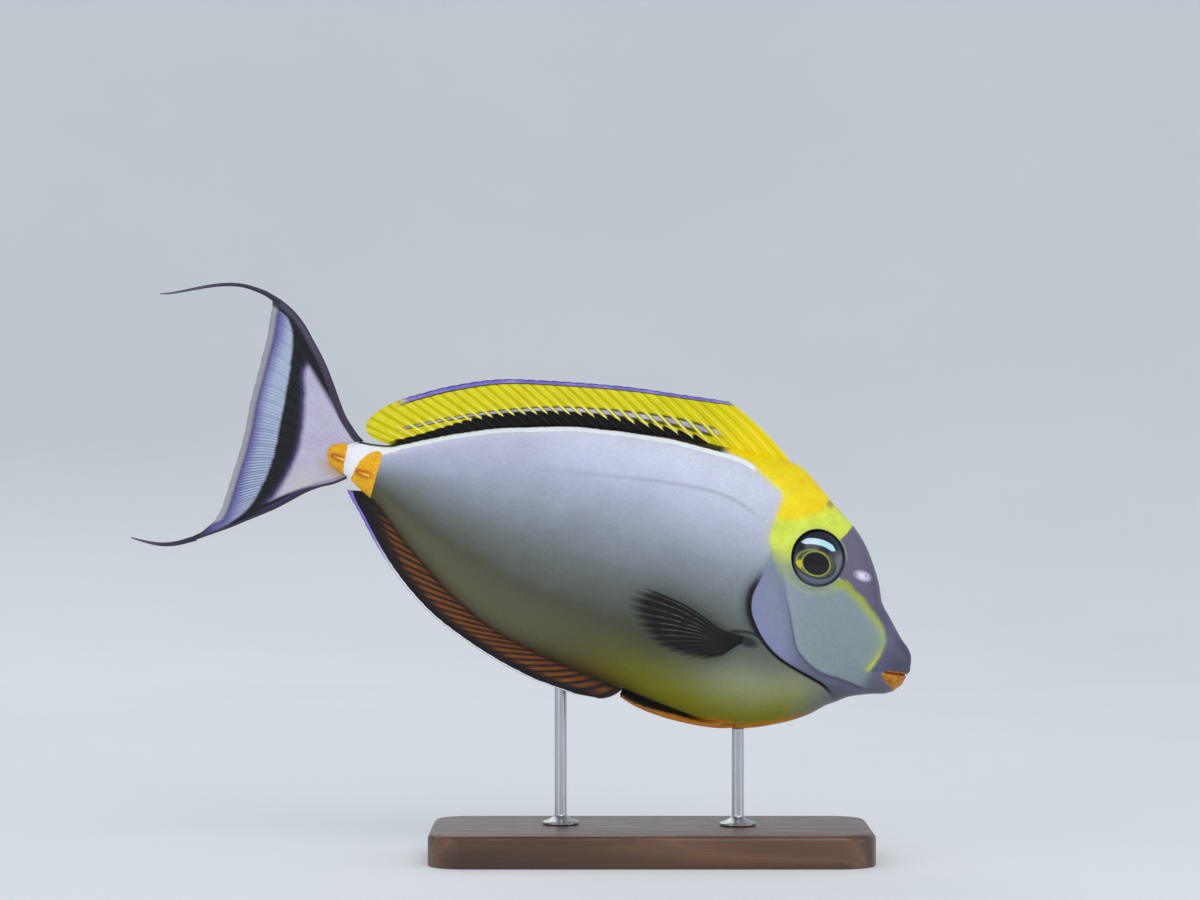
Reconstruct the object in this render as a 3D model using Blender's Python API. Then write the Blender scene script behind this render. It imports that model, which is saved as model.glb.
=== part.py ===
"""Elegant unicornfish (Naso elegans), a still life-size model held over a wooden base by two steel rods.

The fish is modelled level in its own frame and then turned nose down by its pose empty. In that frame
x points to the snout, z points up, y = 0 is the middle plane, and the snout stands at the origin. The tables
below hold millimetres; "back" is the distance behind the snout, so back = -x.
"""

import math

import bmesh
import bpy
from mathutils import Matrix, Vector

MM = 0.001
GAP = 0.3

# Pose of the fish over the stand.
NOSE_DOWN_DEG = 20.0
SNOUT_X = 111.0
SNOUT_Z = 82.0

# Outline of the body without fins: (back, z) of the upper and of the lower edge.
BODY_TOP = (
    (-0.9, -1.6), (-0.7, 1.2), (-0.2, 3.6), (0.6, 5.6), (3, 8.1), (5, 9.5), (7.5, 11.3), (10, 13.5), (15, 18),
    (20, 22.5), (24, 29.5), (28.5, 35.8), (35, 43.2), (40, 47.4), (44, 50), (50, 53.2), (55, 55.9), (60, 59),
    (65, 62), (70, 64.6), (75, 66.2), (80, 66.4), (90, 65.3), (100, 63.8), (110, 62.1), (130, 59.2), (150, 55),
    (170, 49.7), (180, 46.5), (190, 42.5), (200, 38), (210, 33), (220, 27.5), (230, 21.3), (238, 16.4),
    (243, 13.9), (250, 12), (256, 10.9), (260, 8.5), (262, 7.8), (264.3, 7), (266, 5.6), (267, 4.1), (267.3, 3.2),
)
BODY_BOTTOM = (
    (-0.9, -3.1), (-0.7, -3.8), (-0.2, -5.2), (0.6, -7.4), (1.4, -9.6), (2.6, -11.6), (4, -12.6), (6, -14), (10, -15.5),
    (15, -17.8), (20, -20.5), (24, -24), (28, -27.4), (33, -33), (40, -38.8), (45, -42), (50, -45), (55, -47.5),
    (60, -49.6), (65, -50.6), (70, -51.3), (80, -51.8), (100, -51.2), (120, -50.4), (140, -49.5), (150, -49),
    (160, -48), (170, -46.5), (180, -44), (190, -40.3), (200, -36), (210, -30.5), (220, -25), (230, -18.5),
    (240, -11.8), (245, -9.7), (250, -7.7), (256, -5.2), (260, -4.2), (262, -3.6), (264.3, -2.7), (266, -1.2),
    (267, 0.9), (267.3, 2.2),
)
BODY_HALF_WIDTH = (
    (-0.9, 0.8), (-0.7, 2.1), (-0.2, 3.5), (0.6, 4.6), (5, 7), (12, 9.6), (25, 13.5), (40, 16.5), (55, 18.5),
    (75, 21), (95, 22), (120, 22), (145, 20.5), (170, 17.5), (195, 13.8), (215, 10.6), (232, 7.8), (245, 6),
    (256, 5), (260, 4.3), (262, 3.8), (264.3, 3), (266, 2.1), (267, 1.1), (267.3, 0.5),
)
WIDEST_HEIGHT = ((-0.9, -2.5), (10, -2), (25, 1), (45, 5), (80, 7), (140, 7), (200, 4), (245, 2.4), (267.3, 2.7))
SECTION_POWER = ((-0.9, 1.0), (30, 1.0), (70, 1.06), (150, 1.1), (240, 1.05), (267.3, 1.0))
RING_STATIONS = (
    -0.7, -0.2, 0.6, 2, 4, 6.5, 9.5, 12.5, 15.5, 18.5, 21.5, 24.5, 28, 32, 36, 40, 44, 48, 52, 56, 60, 64, 68, 72,
    76, 80, 85, 91, 98, 106, 114, 122, 130, 138, 146, 154, 162, 170, 178, 186, 193, 200, 207, 213, 219, 225, 231,
    236, 240.5, 245, 249, 253, 256.5, 260, 262.2, 264.3, 266, 267,
)
RING_ANGLES_DEG = (0, 4, 12, 21, 31, 41, 51, 61, 71, 81)
SNOUT_TIP_BACK = -0.9
SNOUT_TIP_Z = -2.5
STALK_TIP_BACK = 267.3
STALK_TIP_Z = 2.7

# Rear edge of the gill cover, where the head ends: (back, z) from above the nape down to below the throat.
GILL_EDGE = (
    (77.5, 90), (77.5, 66), (77.3, 52), (76.6, 40), (72.9, 27), (74.4, 15), (75.4, 7), (73.3, 0), (70, -4.2),
    (65.8, -8.2), (60, -12), (54, -14.5), (45, -16.5), (38, -17.7), (32.5, -18.9), (28, -21.2), (22, -26.5),
    (14, -36),
)
GILL_EDGE_STEPS = 30
GILL_LIFT = 0.9
GILL_LIFT_REACH = 20.0
STALK_START = 240.0
BODY_FAR = 400.0

# Eye and its rim.
EYE_CENTRE = (-53.3, 12.9, 30.8)
EYE_RADII = (12.4, 6.4, 12.8)
EYE_TURN_UP_DEG = 13.0
EYE_TURN_FORWARD_DEG = 10.5
LID_RADIUS = 1.4
LID_SINK = 0.65
LID_SPREAD = 0.97
LID_POINTS = 26

# Lips: (x, y, z, radius) of each roll from the corner of the mouth to the middle plane. Mouth line: (x, z).
UPPER_LIP = (
    (-10.4, 7.9, -4.5, 0.4), (-9.4, 7.8, -4.1, 0.9), (-7.8, 7.3, -3.5, 1.2), (-6, 6.6, -2.9, 1.5),
    (-4.2, 5.7, -2.2, 1.7), (-2.6, 4.6, -1.6, 1.85), (-1.4, 3.3, -1.1, 1.95), (-0.8, 1.7, -0.9, 2.0),
    (-0.6, 0, -0.8, 2.0),
)
LOWER_LIP = (
    (-10.9, 7.8, -6.0, 0.4), (-9.8, 7.6, -6.2, 1.0), (-8.4, 7.0, -6.5, 1.5), (-6.9, 6.2, -6.6, 1.95),
    (-5.4, 5.2, -6.7, 2.3), (-4.1, 4.1, -6.8, 2.5), (-3.1, 2.8, -6.8, 2.65), (-2.6, 1.4, -6.7, 2.7),
    (-2.4, 0, -6.7, 2.7),
)
MOUTH_LINE = ((4.0, -3.2), (0.0, -3.3), (-3.0, -3.7), (-6.0, -4.3), (-9.6, -5.1))
MOUTH_SLIT = 0.5
NOSTRILS = ((-32.6, 30.6, 1.0), (-36.6, 30.2, 0.7))
PREOPERCLE = ((-66, 20), (-62, 13), (-57, 5), (-53, -2), (-49, -8), (-44, -11.3), (-38, -13.2), (-30, -13.8))
PREOPERCLE_STEPS = 14
PREOPERCLE_RADIUS = 1.7
PREOPERCLE_RISE = 0.4

# Dorsal fin: (back of the ray's root, back of its tip, z of its tip), front to rear.
DORSAL_RAYS = (
    (77.3, 112, 81.7), (90, 122, 79.7), (100, 131, 77.8), (110, 140, 76), (125, 154, 73), (140, 168, 69.4),
    (160, 188, 63.6), (180, 208, 57), (200, 228, 46.4), (210, 238, 39.6), (220, 246, 33.6), (228, 252.3, 27),
    (235, 256.3, 20), (241.5, 254.6, 15.9),
)
DORSAL_COUNT = 34
DORSAL_SPINES = 6
DORSAL_BOW = 1.5

# Anal fin, in the same form.
ANAL_RAYS = (
    (112.5, 121, -58.1), (118, 134, -60.1), (126, 148, -60.1), (136, 161, -58.9), (148, 176, -56.2),
    (160, 189, -52.8), (172, 201, -48.8), (186, 215, -41.8), (200, 227.5, -33.6), (212, 237, -25.9),
    (224, 245.5, -18.1), (236, 251.5, -13.1), (246.5, 254, -10.6),
)
ANAL_COUNT = 28
ANAL_SPINES = 2
ANAL_BOW = 0.4

# Tail fin: root round the end of the tail stalk, outer edges and hind margin, as (x, z).
TAIL_ROOT = (
    (-254.2, 11.75), (-257, 10.95), (-260.2, 8.95), (-264.8, 7.35), (-266.6, 5.9), (-267.6, 3.6), (-267.5, 1.6),
    (-266.6, -1.1), (-264.9, -2.9), (-261, -4.3), (-258, -5.0), (-255.4, -5.9),
)
TAIL_UPPER_EDGE = (
    (-254.2, 11.75), (-257, 13), (-260, 15.1), (-265, 19), (-270, 24.6), (-275, 30.6), (-280, 36.3), (-285, 41.2),
    (-290, 45.6), (-295, 50), (-300, 53.3), (-305, 55.6), (-310, 57), (-316, 58),
)
TAIL_LOWER_EDGE = (
    (-255.4, -5.9), (-260, -10.1), (-265, -13.4), (-270, -17.7), (-275, -23.3), (-280, -28.8), (-285, -33.5),
    (-290, -38), (-295, -42.6), (-300, -46.8), (-305, -51), (-310, -55.5), (-315, -59),
)
TAIL_MARGIN = (
    (-316, 58), (-315.8, 54.8), (-311.5, 48), (-309, 40), (-308, 30), (-307, 20), (-306, 10), (-304.3, 0),
    (-303.2, -10), (-302.8, -20), (-302.6, -30), (-303.6, -38), (-307, -47), (-314.6, -56.2), (-315, -59),
)
TAIL_COUNT = 18
TAIL_ROWS = (0.0, 0.1, 0.24, 0.4, 0.56, 0.72, 0.86, 1.0)
UPPER_STREAMER = (
    (-316, 56.4, 1.6), (-320, 56.75, 1.5), (-325, 56.75, 1.5), (-330, 55.9, 1.5), (-335, 53.8, 1.45),
    (-340, 51.5, 1.4), (-345, 48.7, 1.35), (-350, 45.6, 1.15), (-355, 42.9, 0.7), (-358.6, 41.3, 0.3),
)
LOWER_STREAMER = (
    (-314.8, -57.6, 1.4), (-320, -59.75, 1.3), (-325, -60.7, 1.15), (-330, -61.4, 0.85), (-334.5, -61.8, 0.3),
)
STREAMER_HALF = 0.55

# Half thicknesses of the fins.
MEMBRANE_ROOT = 0.62
MEMBRANE = 0.3
MEMBRANE_EDGE = 0.25
SPINE_RISE = 0.5
RAY_RISE = 0.3
RIDGE_SHARE = 0.42
FIN_ROWS = (0.0, 0.16, 0.5, 0.86, 1.0)

# Pectoral fin: root across the side of the body, and the tips of its rays from the upper one down, as (x, z).
PECTORAL_ROOT = ((-70.2, -9.6), (-71.6, -12.0), (-73.4, -14.4), (-75.6, -16.8))
PECTORAL_TIPS = (
    (-120.5, -4.9), (-124.6, -9.0), (-125.2, -13.0), (-122.5, -17.2), (-118.6, -20.6), (-114, -24), (-109, -27),
    (-103.5, -29.6), (-97.5, -31.6), (-91.5, -32), (-86.5, -29.8), (-82, -26.9),
)
PECTORAL_COUNT = 10
PECTORAL_SPREAD_DEG = 22.0
PECTORAL_SINK = 4.0
PECTORAL_ARCH = 2.2
PECTORAL_BEND = ((0.0, 0.0), (0.25, -1.5), (0.45, 0.2), (0.65, 1.1), (0.85, 0.6), (1.0, 0.0))
PECTORAL_ROOT_HALF = 1.3

# Pelvic fin, folded back under the belly: (x, z of the upper edge, z of the lower edge, y).
PELVIC_STATIONS = (
    (-64, -48.4, -50.3, 4.3), (-67.5, -49.2, -52.6, 4.6), (-72, -51.6, -54.2, 4.8), (-80, -52.3, -55.1, 5.2),
    (-90, -52.4, -55.6, 5.6), (-100, -52.4, -55.5, 5.7), (-107, -52.6, -54.9, 5.6), (-111.5, -53.2, -54.3, 5.4),
)
PELVIC_ROWS = (0.0, 0.22, 0.44, 0.66, 0.88, 1.0)
PELVIC_SLANT = 0.35

# Bony keels of the tail stalk: a forward-hooked blade, (x, distance out of the side), from its rear to its front.
KEEL_OUTLINE = (
    (-4.6, -1.4), (-4.4, 0.2), (-2.6, 1.5), (-0.4, 2.7), (2.0, 3.5), (4.3, 3.9), (3.7, 2.6), (3.5, 1.2), (3.9, -1.4),
)
KEEL_HALF = 0.6
FRONT_KEEL = (-249.4, -1.2)
REAR_KEEL = (-260.6, 1.5)

# Stand.
BASE_LENGTH = 190.0
BASE_WIDTH = 90.0
BASE_HEIGHT = 14.0
BASE_CORNER = 16.0
BASE_EDGE = 2.5
CORNER_STEPS = 6
FRONT_ROD = (37.5, 0.0)
REAR_ROD = (-39.0, 5.2)
ROD_RADIUS = 2.6
FOOT_RADIUS = 8.0
FOOT_HEIGHT = 3.0
ROD_STEPS = 18
ROD_SINK = 8.0

# Round pieces.
EYE_SEGMENTS = 22
EYE_RINGS = 11
TUBE_SIDES = 8
PIT_SEGMENTS = 10
PIT_RINGS = 8
SHARP_DEG = 38.0


def table_value(table, place):
    """Value of a table of (place, value) pairs at a place, through a smooth curve that keeps the table's slopes."""
    if place <= table[0][0]:
        return table[0][1]
    if place >= table[-1][0]:
        return table[-1][1]
    index = max(i for i in range(len(table) - 1) if table[i][0] <= place)
    slopes = []
    for knot in (index, index + 1):
        if knot in (0, len(table) - 1):
            first = min(knot, len(table) - 2)
            slopes.append(slope_between(table, first))
            continue
        before, after = slope_between(table, knot - 1), slope_between(table, knot)
        if before * after <= 0:
            slopes.append(0.0)
        else:
            slopes.append(2 * before * after / (before + after))
    (start, low), (end, high) = table[index], table[index + 1]
    span = end - start
    t = (place - start) / span
    return (
        low * (1 + 2 * t) * (1 - t) ** 2
        + slopes[0] * span * t * (1 - t) ** 2
        + high * t * t * (3 - 2 * t)
        + slopes[1] * span * t * t * (t - 1)
    )


def slope_between(table, index):
    """Slope of the straight line from one pair of a table to the next."""
    return (table[index + 1][1] - table[index][1]) / (table[index + 1][0] - table[index][0])


def along(points, share):
    """Point at a share of the length of a polyline of (x, z) points, on a smooth curve through them."""
    lengths = [0.0]
    for first, second in zip(points, points[1:]):
        lengths.append(lengths[-1] + math.dist(first, second))
    place = share * lengths[-1]
    return tuple(
        table_value([(length, point[axis]) for length, point in zip(lengths, points)], place)
        for axis in range(len(points[0]))
    )


def section(back):
    """Upper edge, lower edge, half width, height of the widest place and roundness of the body at a station."""
    return (
        table_value(BODY_TOP, back),
        table_value(BODY_BOTTOM, back),
        table_value(BODY_HALF_WIDTH, back),
        table_value(WIDEST_HEIGHT, back),
        table_value(SECTION_POWER, back),
    )


def side_of_body(x, z):
    """Distance from the middle plane to the skin at a place seen from the side."""
    top, bottom, width, widest, power = section(-x)
    reach = top - widest if z > widest else widest - bottom
    share = min(abs(z - widest) / reach, 1.0)
    return width * (1 - share * share) ** (power / 2)


def distance_to_gill_edge(x, z):
    """Distance from a place seen from the side to the rear edge of the gill cover."""
    place = Vector((x, z))
    best = BODY_FAR
    for first, second in zip(GILL_EDGE, GILL_EDGE[1:]):
        start, end = Vector((-first[0], first[1])), Vector((-second[0], second[1]))
        step = end - start
        share = max(0.0, min(1.0, (place - start).dot(step) / step.length_squared))
        best = min(best, (place - start - share * step).length)
    return best


def ease(value, low, high):
    """0 up to low, 1 from high on, and a smooth step between them."""
    share = max(0.0, min(1.0, (value - low) / (high - low)))
    return share * share * (3 - 2 * share)


def gill_lift(x, z):
    """How far the gill cover's rim stands out of the side of the body."""
    near = max(0.0, 1 - distance_to_gill_edge(x, z) / GILL_LIFT_REACH)
    return GILL_LIFT * near * near * (1 - ease(z, 16, 34)) * ease(-x, 26, 42)


def srgb(red, green, blue):
    """Linear colour of a screen colour given in the range 0 to 255."""
    channels = []
    for value in (red, green, blue):
        share = value / 255
        channels.append(share / 12.92 if share <= 0.04045 else ((share + 0.055) / 1.055) ** 2.4)
    return (*channels, 1.0)


def finish(name, colour, roughness, metallic=0.0):
    """Material of one node."""
    material = bpy.data.materials.new(name)
    material.use_nodes = True
    shader = material.node_tree.nodes["Principled BSDF"]
    shader.inputs["Base Color"].default_value = colour
    shader.inputs["Roughness"].default_value = roughness
    shader.inputs["Metallic"].default_value = metallic
    return material


def mesh_object(name, shape):
    """Object in the scene that holds a bmesh given in millimetres, with its faces turned outwards."""
    bmesh.ops.recalc_face_normals(shape, faces=shape.faces)
    bmesh.ops.scale(shape, vec=(MM, MM, MM), verts=shape.verts)
    mesh = bpy.data.meshes.new(name)
    shape.to_mesh(mesh)
    shape.free()
    piece = bpy.data.objects.new(name, mesh)
    bpy.context.scene.collection.objects.link(piece)
    return piece


def drop(piece):
    """Takes a helper out of the scene together with its mesh."""
    mesh = piece.data
    bpy.data.objects.remove(piece)
    bpy.data.meshes.remove(mesh)


def settle(piece):
    """Replaces a piece's mesh by what its modifiers make of it."""
    graph = bpy.context.evaluated_depsgraph_get()
    made = bpy.data.meshes.new_from_object(piece.evaluated_get(graph))
    old = piece.data
    piece.modifiers.clear()
    piece.data = made
    bpy.data.meshes.remove(old)


def combine(piece, tool, operation):
    """Joins, cuts or keeps a piece with a tool and takes the tool away."""
    modifier = piece.modifiers.new(operation.lower(), "BOOLEAN")
    modifier.operation = operation
    modifier.object = tool
    modifier.solver = "EXACT"
    settle(piece)
    drop(tool)


def fuse(piece, parts):
    """Joins closed parts to a piece as one solid."""
    group = bpy.data.collections.new("parts_of_" + piece.name)
    bpy.context.scene.collection.children.link(group)
    for part in parts:
        bpy.context.scene.collection.objects.unlink(part)
        group.objects.link(part)
    modifier = piece.modifiers.new("fuse", "BOOLEAN")
    modifier.operation = "UNION"
    modifier.operand_type = "COLLECTION"
    modifier.collection = group
    modifier.solver = "EXACT"
    settle(piece)
    for part in parts:
        drop(part)
    bpy.data.collections.remove(group)


def keep_largest(piece):
    """Keeps the largest closed surface of a piece."""
    shape = bmesh.new()
    shape.from_mesh(piece.data)
    bmesh.ops.remove_doubles(shape, verts=shape.verts, dist=0.000001)
    left = set(shape.faces)
    groups = []
    while left:
        reached = {left.pop()}
        queue = list(reached)
        while queue:
            for edge in queue.pop().edges:
                for face in edge.link_faces:
                    if face in left:
                        left.discard(face)
                        reached.add(face)
                        queue.append(face)
        groups.append(reached)
    largest = max(groups, key=lambda group: sum(face.calc_area() for face in group))
    spare = [face for group in groups if group is not largest for face in group]
    bmesh.ops.delete(shape, geom=spare, context="FACES")
    shape.to_mesh(piece.data)
    shape.free()


def dress(piece, material, parent=None):
    """Gives a finished piece its material, its smooth shading and its parent."""
    piece.data.materials.clear()
    piece.data.materials.append(material)
    for polygon in piece.data.polygons:
        polygon.material_index = 0
    piece.data.shade_smooth()
    piece.data.set_sharp_from_angle(angle=math.radians(SHARP_DEG))
    piece.parent = parent


def body_shape(grow=0.0, lift=False):
    """Closed skin of the whole body as a bmesh, larger by grow, with the gill cover's rim raised if lift is set."""
    quarter = [math.radians(angle) for angle in RING_ANGLES_DEG]
    angles = quarter + [math.pi / 2]
    angles += [math.pi - angle for angle in reversed(quarter)]
    angles += [math.pi + angle for angle in quarter[1:]] + [1.5 * math.pi]
    angles += [2 * math.pi - angle for angle in reversed(quarter[1:])]
    shape = bmesh.new()
    rings = []
    for back in RING_STATIONS:
        top, bottom, width, widest, power = section(back)
        ring = []
        for angle in angles:
            reach = top - widest if math.cos(angle) > 0 else widest - bottom
            z = widest + (reach + grow) * math.cos(angle)
            side = math.copysign(abs(math.sin(angle)) ** power, math.sin(angle))
            raised = width + grow + (gill_lift(-back, z) if lift else 0.0)
            ring.append(shape.verts.new((-back, raised * side, z)))
        rings.append(ring)
    count = len(angles)
    for first, second in zip(rings, rings[1:]):
        for index in range(count):
            following = (index + 1) % count
            shape.faces.new((first[index], first[following], second[following], second[index]))
    for ring, back, z in (
        (rings[0], SNOUT_TIP_BACK - grow, SNOUT_TIP_Z),
        (rings[-1], STALK_TIP_BACK + grow, STALK_TIP_Z),
    ):
        tip = shape.verts.new((-back, 0.0, z))
        for index in range(count):
            shape.faces.new((ring[index], ring[(index + 1) % count], tip))
    return shape


def prism(name, outline, half_depth):
    """Straight solid through the body, from an outline of (x, z) points seen from the side."""
    shape = bmesh.new()
    face = shape.faces.new([shape.verts.new((x, -half_depth, z)) for x, z in outline])
    walls = bmesh.ops.extrude_face_region(shape, geom=[face])
    moved = [item for item in walls["geom"] if isinstance(item, bmesh.types.BMVert)]
    bmesh.ops.translate(shape, vec=(0, 2 * half_depth, 0), verts=moved)
    return mesh_object(name, shape)


def shifted_gill_edge(shift):
    """Rear edge of the gill cover as (x, z) points, moved forward by shift."""
    smooth = [along(GILL_EDGE, step / GILL_EDGE_STEPS) for step in range(GILL_EDGE_STEPS + 1)]
    points = [Vector((-back, z)) for back, z in smooth]
    moved = []
    for index, point in enumerate(points):
        before, after = points[max(index - 1, 0)], points[min(index + 1, len(points) - 1)]
        way = (after - before).normalized()
        forward = Vector((-way.y, way.x))
        moved.append(tuple(point + shift * forward))
    return moved


def tube(name, path, radii):
    """Closed round roll along a path of points, with the radius given at each of them."""
    shape = bmesh.new()
    rings = []
    for index, point in enumerate(path):
        way = (path[min(index + 1, len(path) - 1)] - path[max(index - 1, 0)]).normalized()
        side = way.cross(Vector((0, 0, 1)))
        side = side.normalized() if side.length > 0.01 else Vector((1, 0, 0))
        up = side.cross(way).normalized()
        ring = []
        for step in range(TUBE_SIDES):
            angle = 2 * math.pi * step / TUBE_SIDES
            offset = math.cos(angle) * side + math.sin(angle) * up
            ring.append(shape.verts.new(point + radii[index] * offset))
        rings.append(ring)
    for first, second in zip(rings, rings[1:]):
        bmesh.ops.bridge_loops(
            shape,
            edges=ring_edges(shape, first) + ring_edges(shape, second),
        )
    for ring in (rings[0], rings[-1]):
        shape.faces.new(ring)
    return mesh_object(name, shape)


def ring_edges(shape, ring):
    """Edges round a ring of vertices, made where they aren't there yet."""
    edges = []
    for first, second in zip(ring, ring[1:] + ring[:1]):
        edges.append(shape.edges.get((first, second)) or shape.edges.new((first, second)))
    return edges


def closed_tube(name, path, radius, inward):
    """Round roll along a closed path, whose section stands square to the path and to the inward way of each point."""
    shape = bmesh.new()
    rings = []
    for index, point in enumerate(path):
        way = (path[(index + 1) % len(path)] - path[index - 1]).normalized()
        side = way.cross(inward[index]).normalized()
        up = side.cross(way).normalized()
        ring = []
        for step in range(TUBE_SIDES):
            angle = 2 * math.pi * step / TUBE_SIDES
            ring.append(shape.verts.new(point + radius * (math.cos(angle) * side + math.sin(angle) * up)))
        rings.append(ring)
    for first, second in zip(rings, rings[1:] + rings[:1]):
        for step in range(TUBE_SIDES):
            following = (step + 1) % TUBE_SIDES
            shape.faces.new((first[step], first[following], second[following], second[step]))
    return mesh_object(name, shape)


def eye_place(side):
    """Placing matrix of the eye on one side: -1 for the right side of the fish, +1 for the left."""
    centre = Vector((EYE_CENTRE[0], side * EYE_CENTRE[1], EYE_CENTRE[2]))
    up = Matrix.Rotation(side * math.radians(EYE_TURN_UP_DEG), 4, "X")
    forward = Matrix.Rotation(-side * math.radians(EYE_TURN_FORWARD_DEG), 4, "Z")
    return Matrix.Translation(centre) @ forward @ up


def eyeball(name, grow=0.0):
    """Flattened ball with the eye's radii, centred on its own origin."""
    shape = bmesh.new()
    bmesh.ops.create_uvsphere(shape, u_segments=EYE_SEGMENTS, v_segments=EYE_RINGS, radius=1.0)
    bmesh.ops.rotate(shape, cent=(0, 0, 0), matrix=Matrix.Rotation(math.pi / 2, 3, "X"), verts=shape.verts)
    bmesh.ops.scale(shape, vec=[radius + grow for radius in EYE_RADII], verts=shape.verts)
    return mesh_object(name, shape)


def in_metres(matrix):
    """The same placing with its shift in metres."""
    placed = matrix.copy()
    placed.translation = matrix.translation * MM
    return placed


def lid(name, side):
    """Rim of the orbit, a roll that lies on the skin round the eye."""
    place = eye_place(side)
    outward = place.to_3x3() @ Vector((0, side, 0))
    path = []
    for step in range(LID_POINTS):
        angle = 2 * math.pi * step / LID_POINTS
        spot = Vector((LID_SPREAD * EYE_RADII[0] * math.cos(angle), 0, LID_SPREAD * EYE_RADII[2] * math.sin(angle)))
        placed = place @ spot
        path.append(Vector((placed.x, side * (side_of_body(placed.x, placed.z) - LID_SINK), placed.z)))
    return closed_tube(name, path, LID_RADIUS, [outward] * LID_POINTS)


def lip(name, stations):
    """Lip roll from one corner of the mouth round the muzzle to the other, from its (x, y, z, radius) stations."""
    half = [Vector(station[:3]) for station in stations]
    radii = [station[3] for station in stations]
    mirrored = [Vector((point.x, -point.y, point.z)) for point in reversed(half[:-1])]
    return tube(name, half + mirrored, radii + radii[-2::-1])


def mouth_cut():
    """Thin slab along the line of the mouth."""
    upper = [(x, z + MOUTH_SLIT / 2) for x, z in MOUTH_LINE]
    lower = [(x, z - MOUTH_SLIT / 2) for x, z in reversed(MOUTH_LINE)]
    return prism("mouth_cut", upper + lower, 14.0)


def pit(name, x, z, radius, side):
    """Small ball on the skin, which cuts a nostril."""
    shape = bmesh.new()
    bmesh.ops.create_uvsphere(shape, u_segments=PIT_SEGMENTS, v_segments=PIT_RINGS, radius=radius)
    bmesh.ops.translate(shape, vec=(x, side * side_of_body(x, z), z), verts=shape.verts)
    return mesh_object(name, shape)


def preopercle(name, side):
    """Raised edge of the cheek plate on one side."""
    path = []
    for step in range(PREOPERCLE_STEPS + 1):
        x, z = along(PREOPERCLE, step / PREOPERCLE_STEPS)
        y = side_of_body(x, z) + gill_lift(x, z) + PREOPERCLE_RISE - PREOPERCLE_RADIUS
        path.append(Vector((x, side * y, z)))
    radii = [PREOPERCLE_RADIUS] * len(path)
    radii[0] = radii[-1] = PREOPERCLE_RADIUS - PREOPERCLE_RISE
    return tube(name, path, radii)


def make_head():
    """Head with its lips, mouth, nostrils, cheek edge, gill cover and orbits."""
    head = mesh_object("head", body_shape(lift=True))
    front = shifted_gill_edge(GAP / 2) + [(60, -36), (60, 90)]
    combine(head, prism("head_region", front, 60.0), "INTERSECT")
    parts = [lip("upper_lip", UPPER_LIP), lip("lower_lip", LOWER_LIP)]
    for side in (-1, 1):
        parts.append(lid("lid", side))
        parts.append(preopercle("cheek_edge", side))
    fuse(head, parts)
    combine(head, mouth_cut(), "DIFFERENCE")
    for side in (-1, 1):
        socket = eyeball("socket", GAP)
        socket.data.transform(in_metres(eye_place(side)))
        combine(head, socket, "DIFFERENCE")
        for x, z, radius in NOSTRILS:
            combine(head, pit("pit", x, z, radius, side), "DIFFERENCE")
    keep_largest(head)
    return head


def make_trunk():
    """Trunk from the gill opening to the tail stalk."""
    trunk = mesh_object("trunk", body_shape())
    rear = -(STALK_START - GAP / 2)
    edge = shifted_gill_edge(-GAP / 2)
    outline = edge + [(edge[-1][0], -90), (rear, -90), (rear, 90)]
    combine(trunk, prism("trunk_region", outline, 60.0), "INTERSECT")
    keep_largest(trunk)
    return trunk


def make_tail_stalk():
    """Tail stalk, from the end of the dorsal fin to the root of the tail fin."""
    stalk = mesh_object("tail_stalk", body_shape())
    front = -(STALK_START + GAP / 2)
    outline = [(front, 90), (front, -90), (-BODY_FAR, -90), (-BODY_FAR, 90)]
    combine(stalk, prism("stalk_region", outline, 60.0), "INTERSECT")
    keep_largest(stalk)
    return stalk


def fin_solid(name, grid):
    """Thin solid from a grid of (point, half thickness, normal), with the same triangles on both faces.

    The grid is a list of columns from the first ray to the last, and each column runs from root to margin.
    """
    shape = bmesh.new()
    faces = {}
    for sign in (-1, 1):
        faces[sign] = [
            [shape.verts.new(point + sign * half * normal) for point, half, normal in column] for column in grid
        ]
    columns, rows = len(grid), len(grid[0])
    for sign in (-1, 1):
        sheet = faces[sign]
        for i in range(columns - 1):
            for j in range(rows - 1):
                corners = (sheet[i][j], sheet[i + 1][j], sheet[i + 1][j + 1], sheet[i][j + 1])
                for picked in ((0, 1, 2), (0, 2, 3)):
                    shape.faces.new([corners[k] for k in picked])
    near, far = faces[-1], faces[1]
    rim = [(i, 0) for i in range(columns)] + [(columns - 1, j) for j in range(1, rows)]
    rim += [(i, rows - 1) for i in range(columns - 2, -1, -1)] + [(0, j) for j in range(rows - 2, 0, -1)]
    for (i, j), (k, m) in zip(rim, rim[1:] + rim[:1]):
        shape.faces.new((near[i][j], near[k][m], far[k][m], far[i][j]))
    return mesh_object(name, shape)


def ridge_places(count):
    """Places of the columns over a fin of that many rays, as (share, height on the ridge, number of the ray)."""
    places = []
    for ray in range(count):
        centre = ray / (count - 1)
        flank = RIDGE_SHARE / 2 / (count - 1)
        if ray > 0:
            places.append((centre - flank, 0.0, ray))
        places.append((centre, 1.0, ray))
        if ray < count - 1:
            places.append((centre + flank, 0.0, ray))
    return places


def half_thickness(row, on_ridge, rise):
    """Half thickness of a fin at a share of the way from its root to its margin."""
    membrane = MEMBRANE_ROOT + (MEMBRANE - MEMBRANE_ROOT) * ease(row, 0.0, 0.35)
    membrane += (MEMBRANE_EDGE - MEMBRANE) * ease(row, 0.6, 1.0)
    return membrane + on_ridge * rise * (1 - 0.75 * row)


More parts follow.
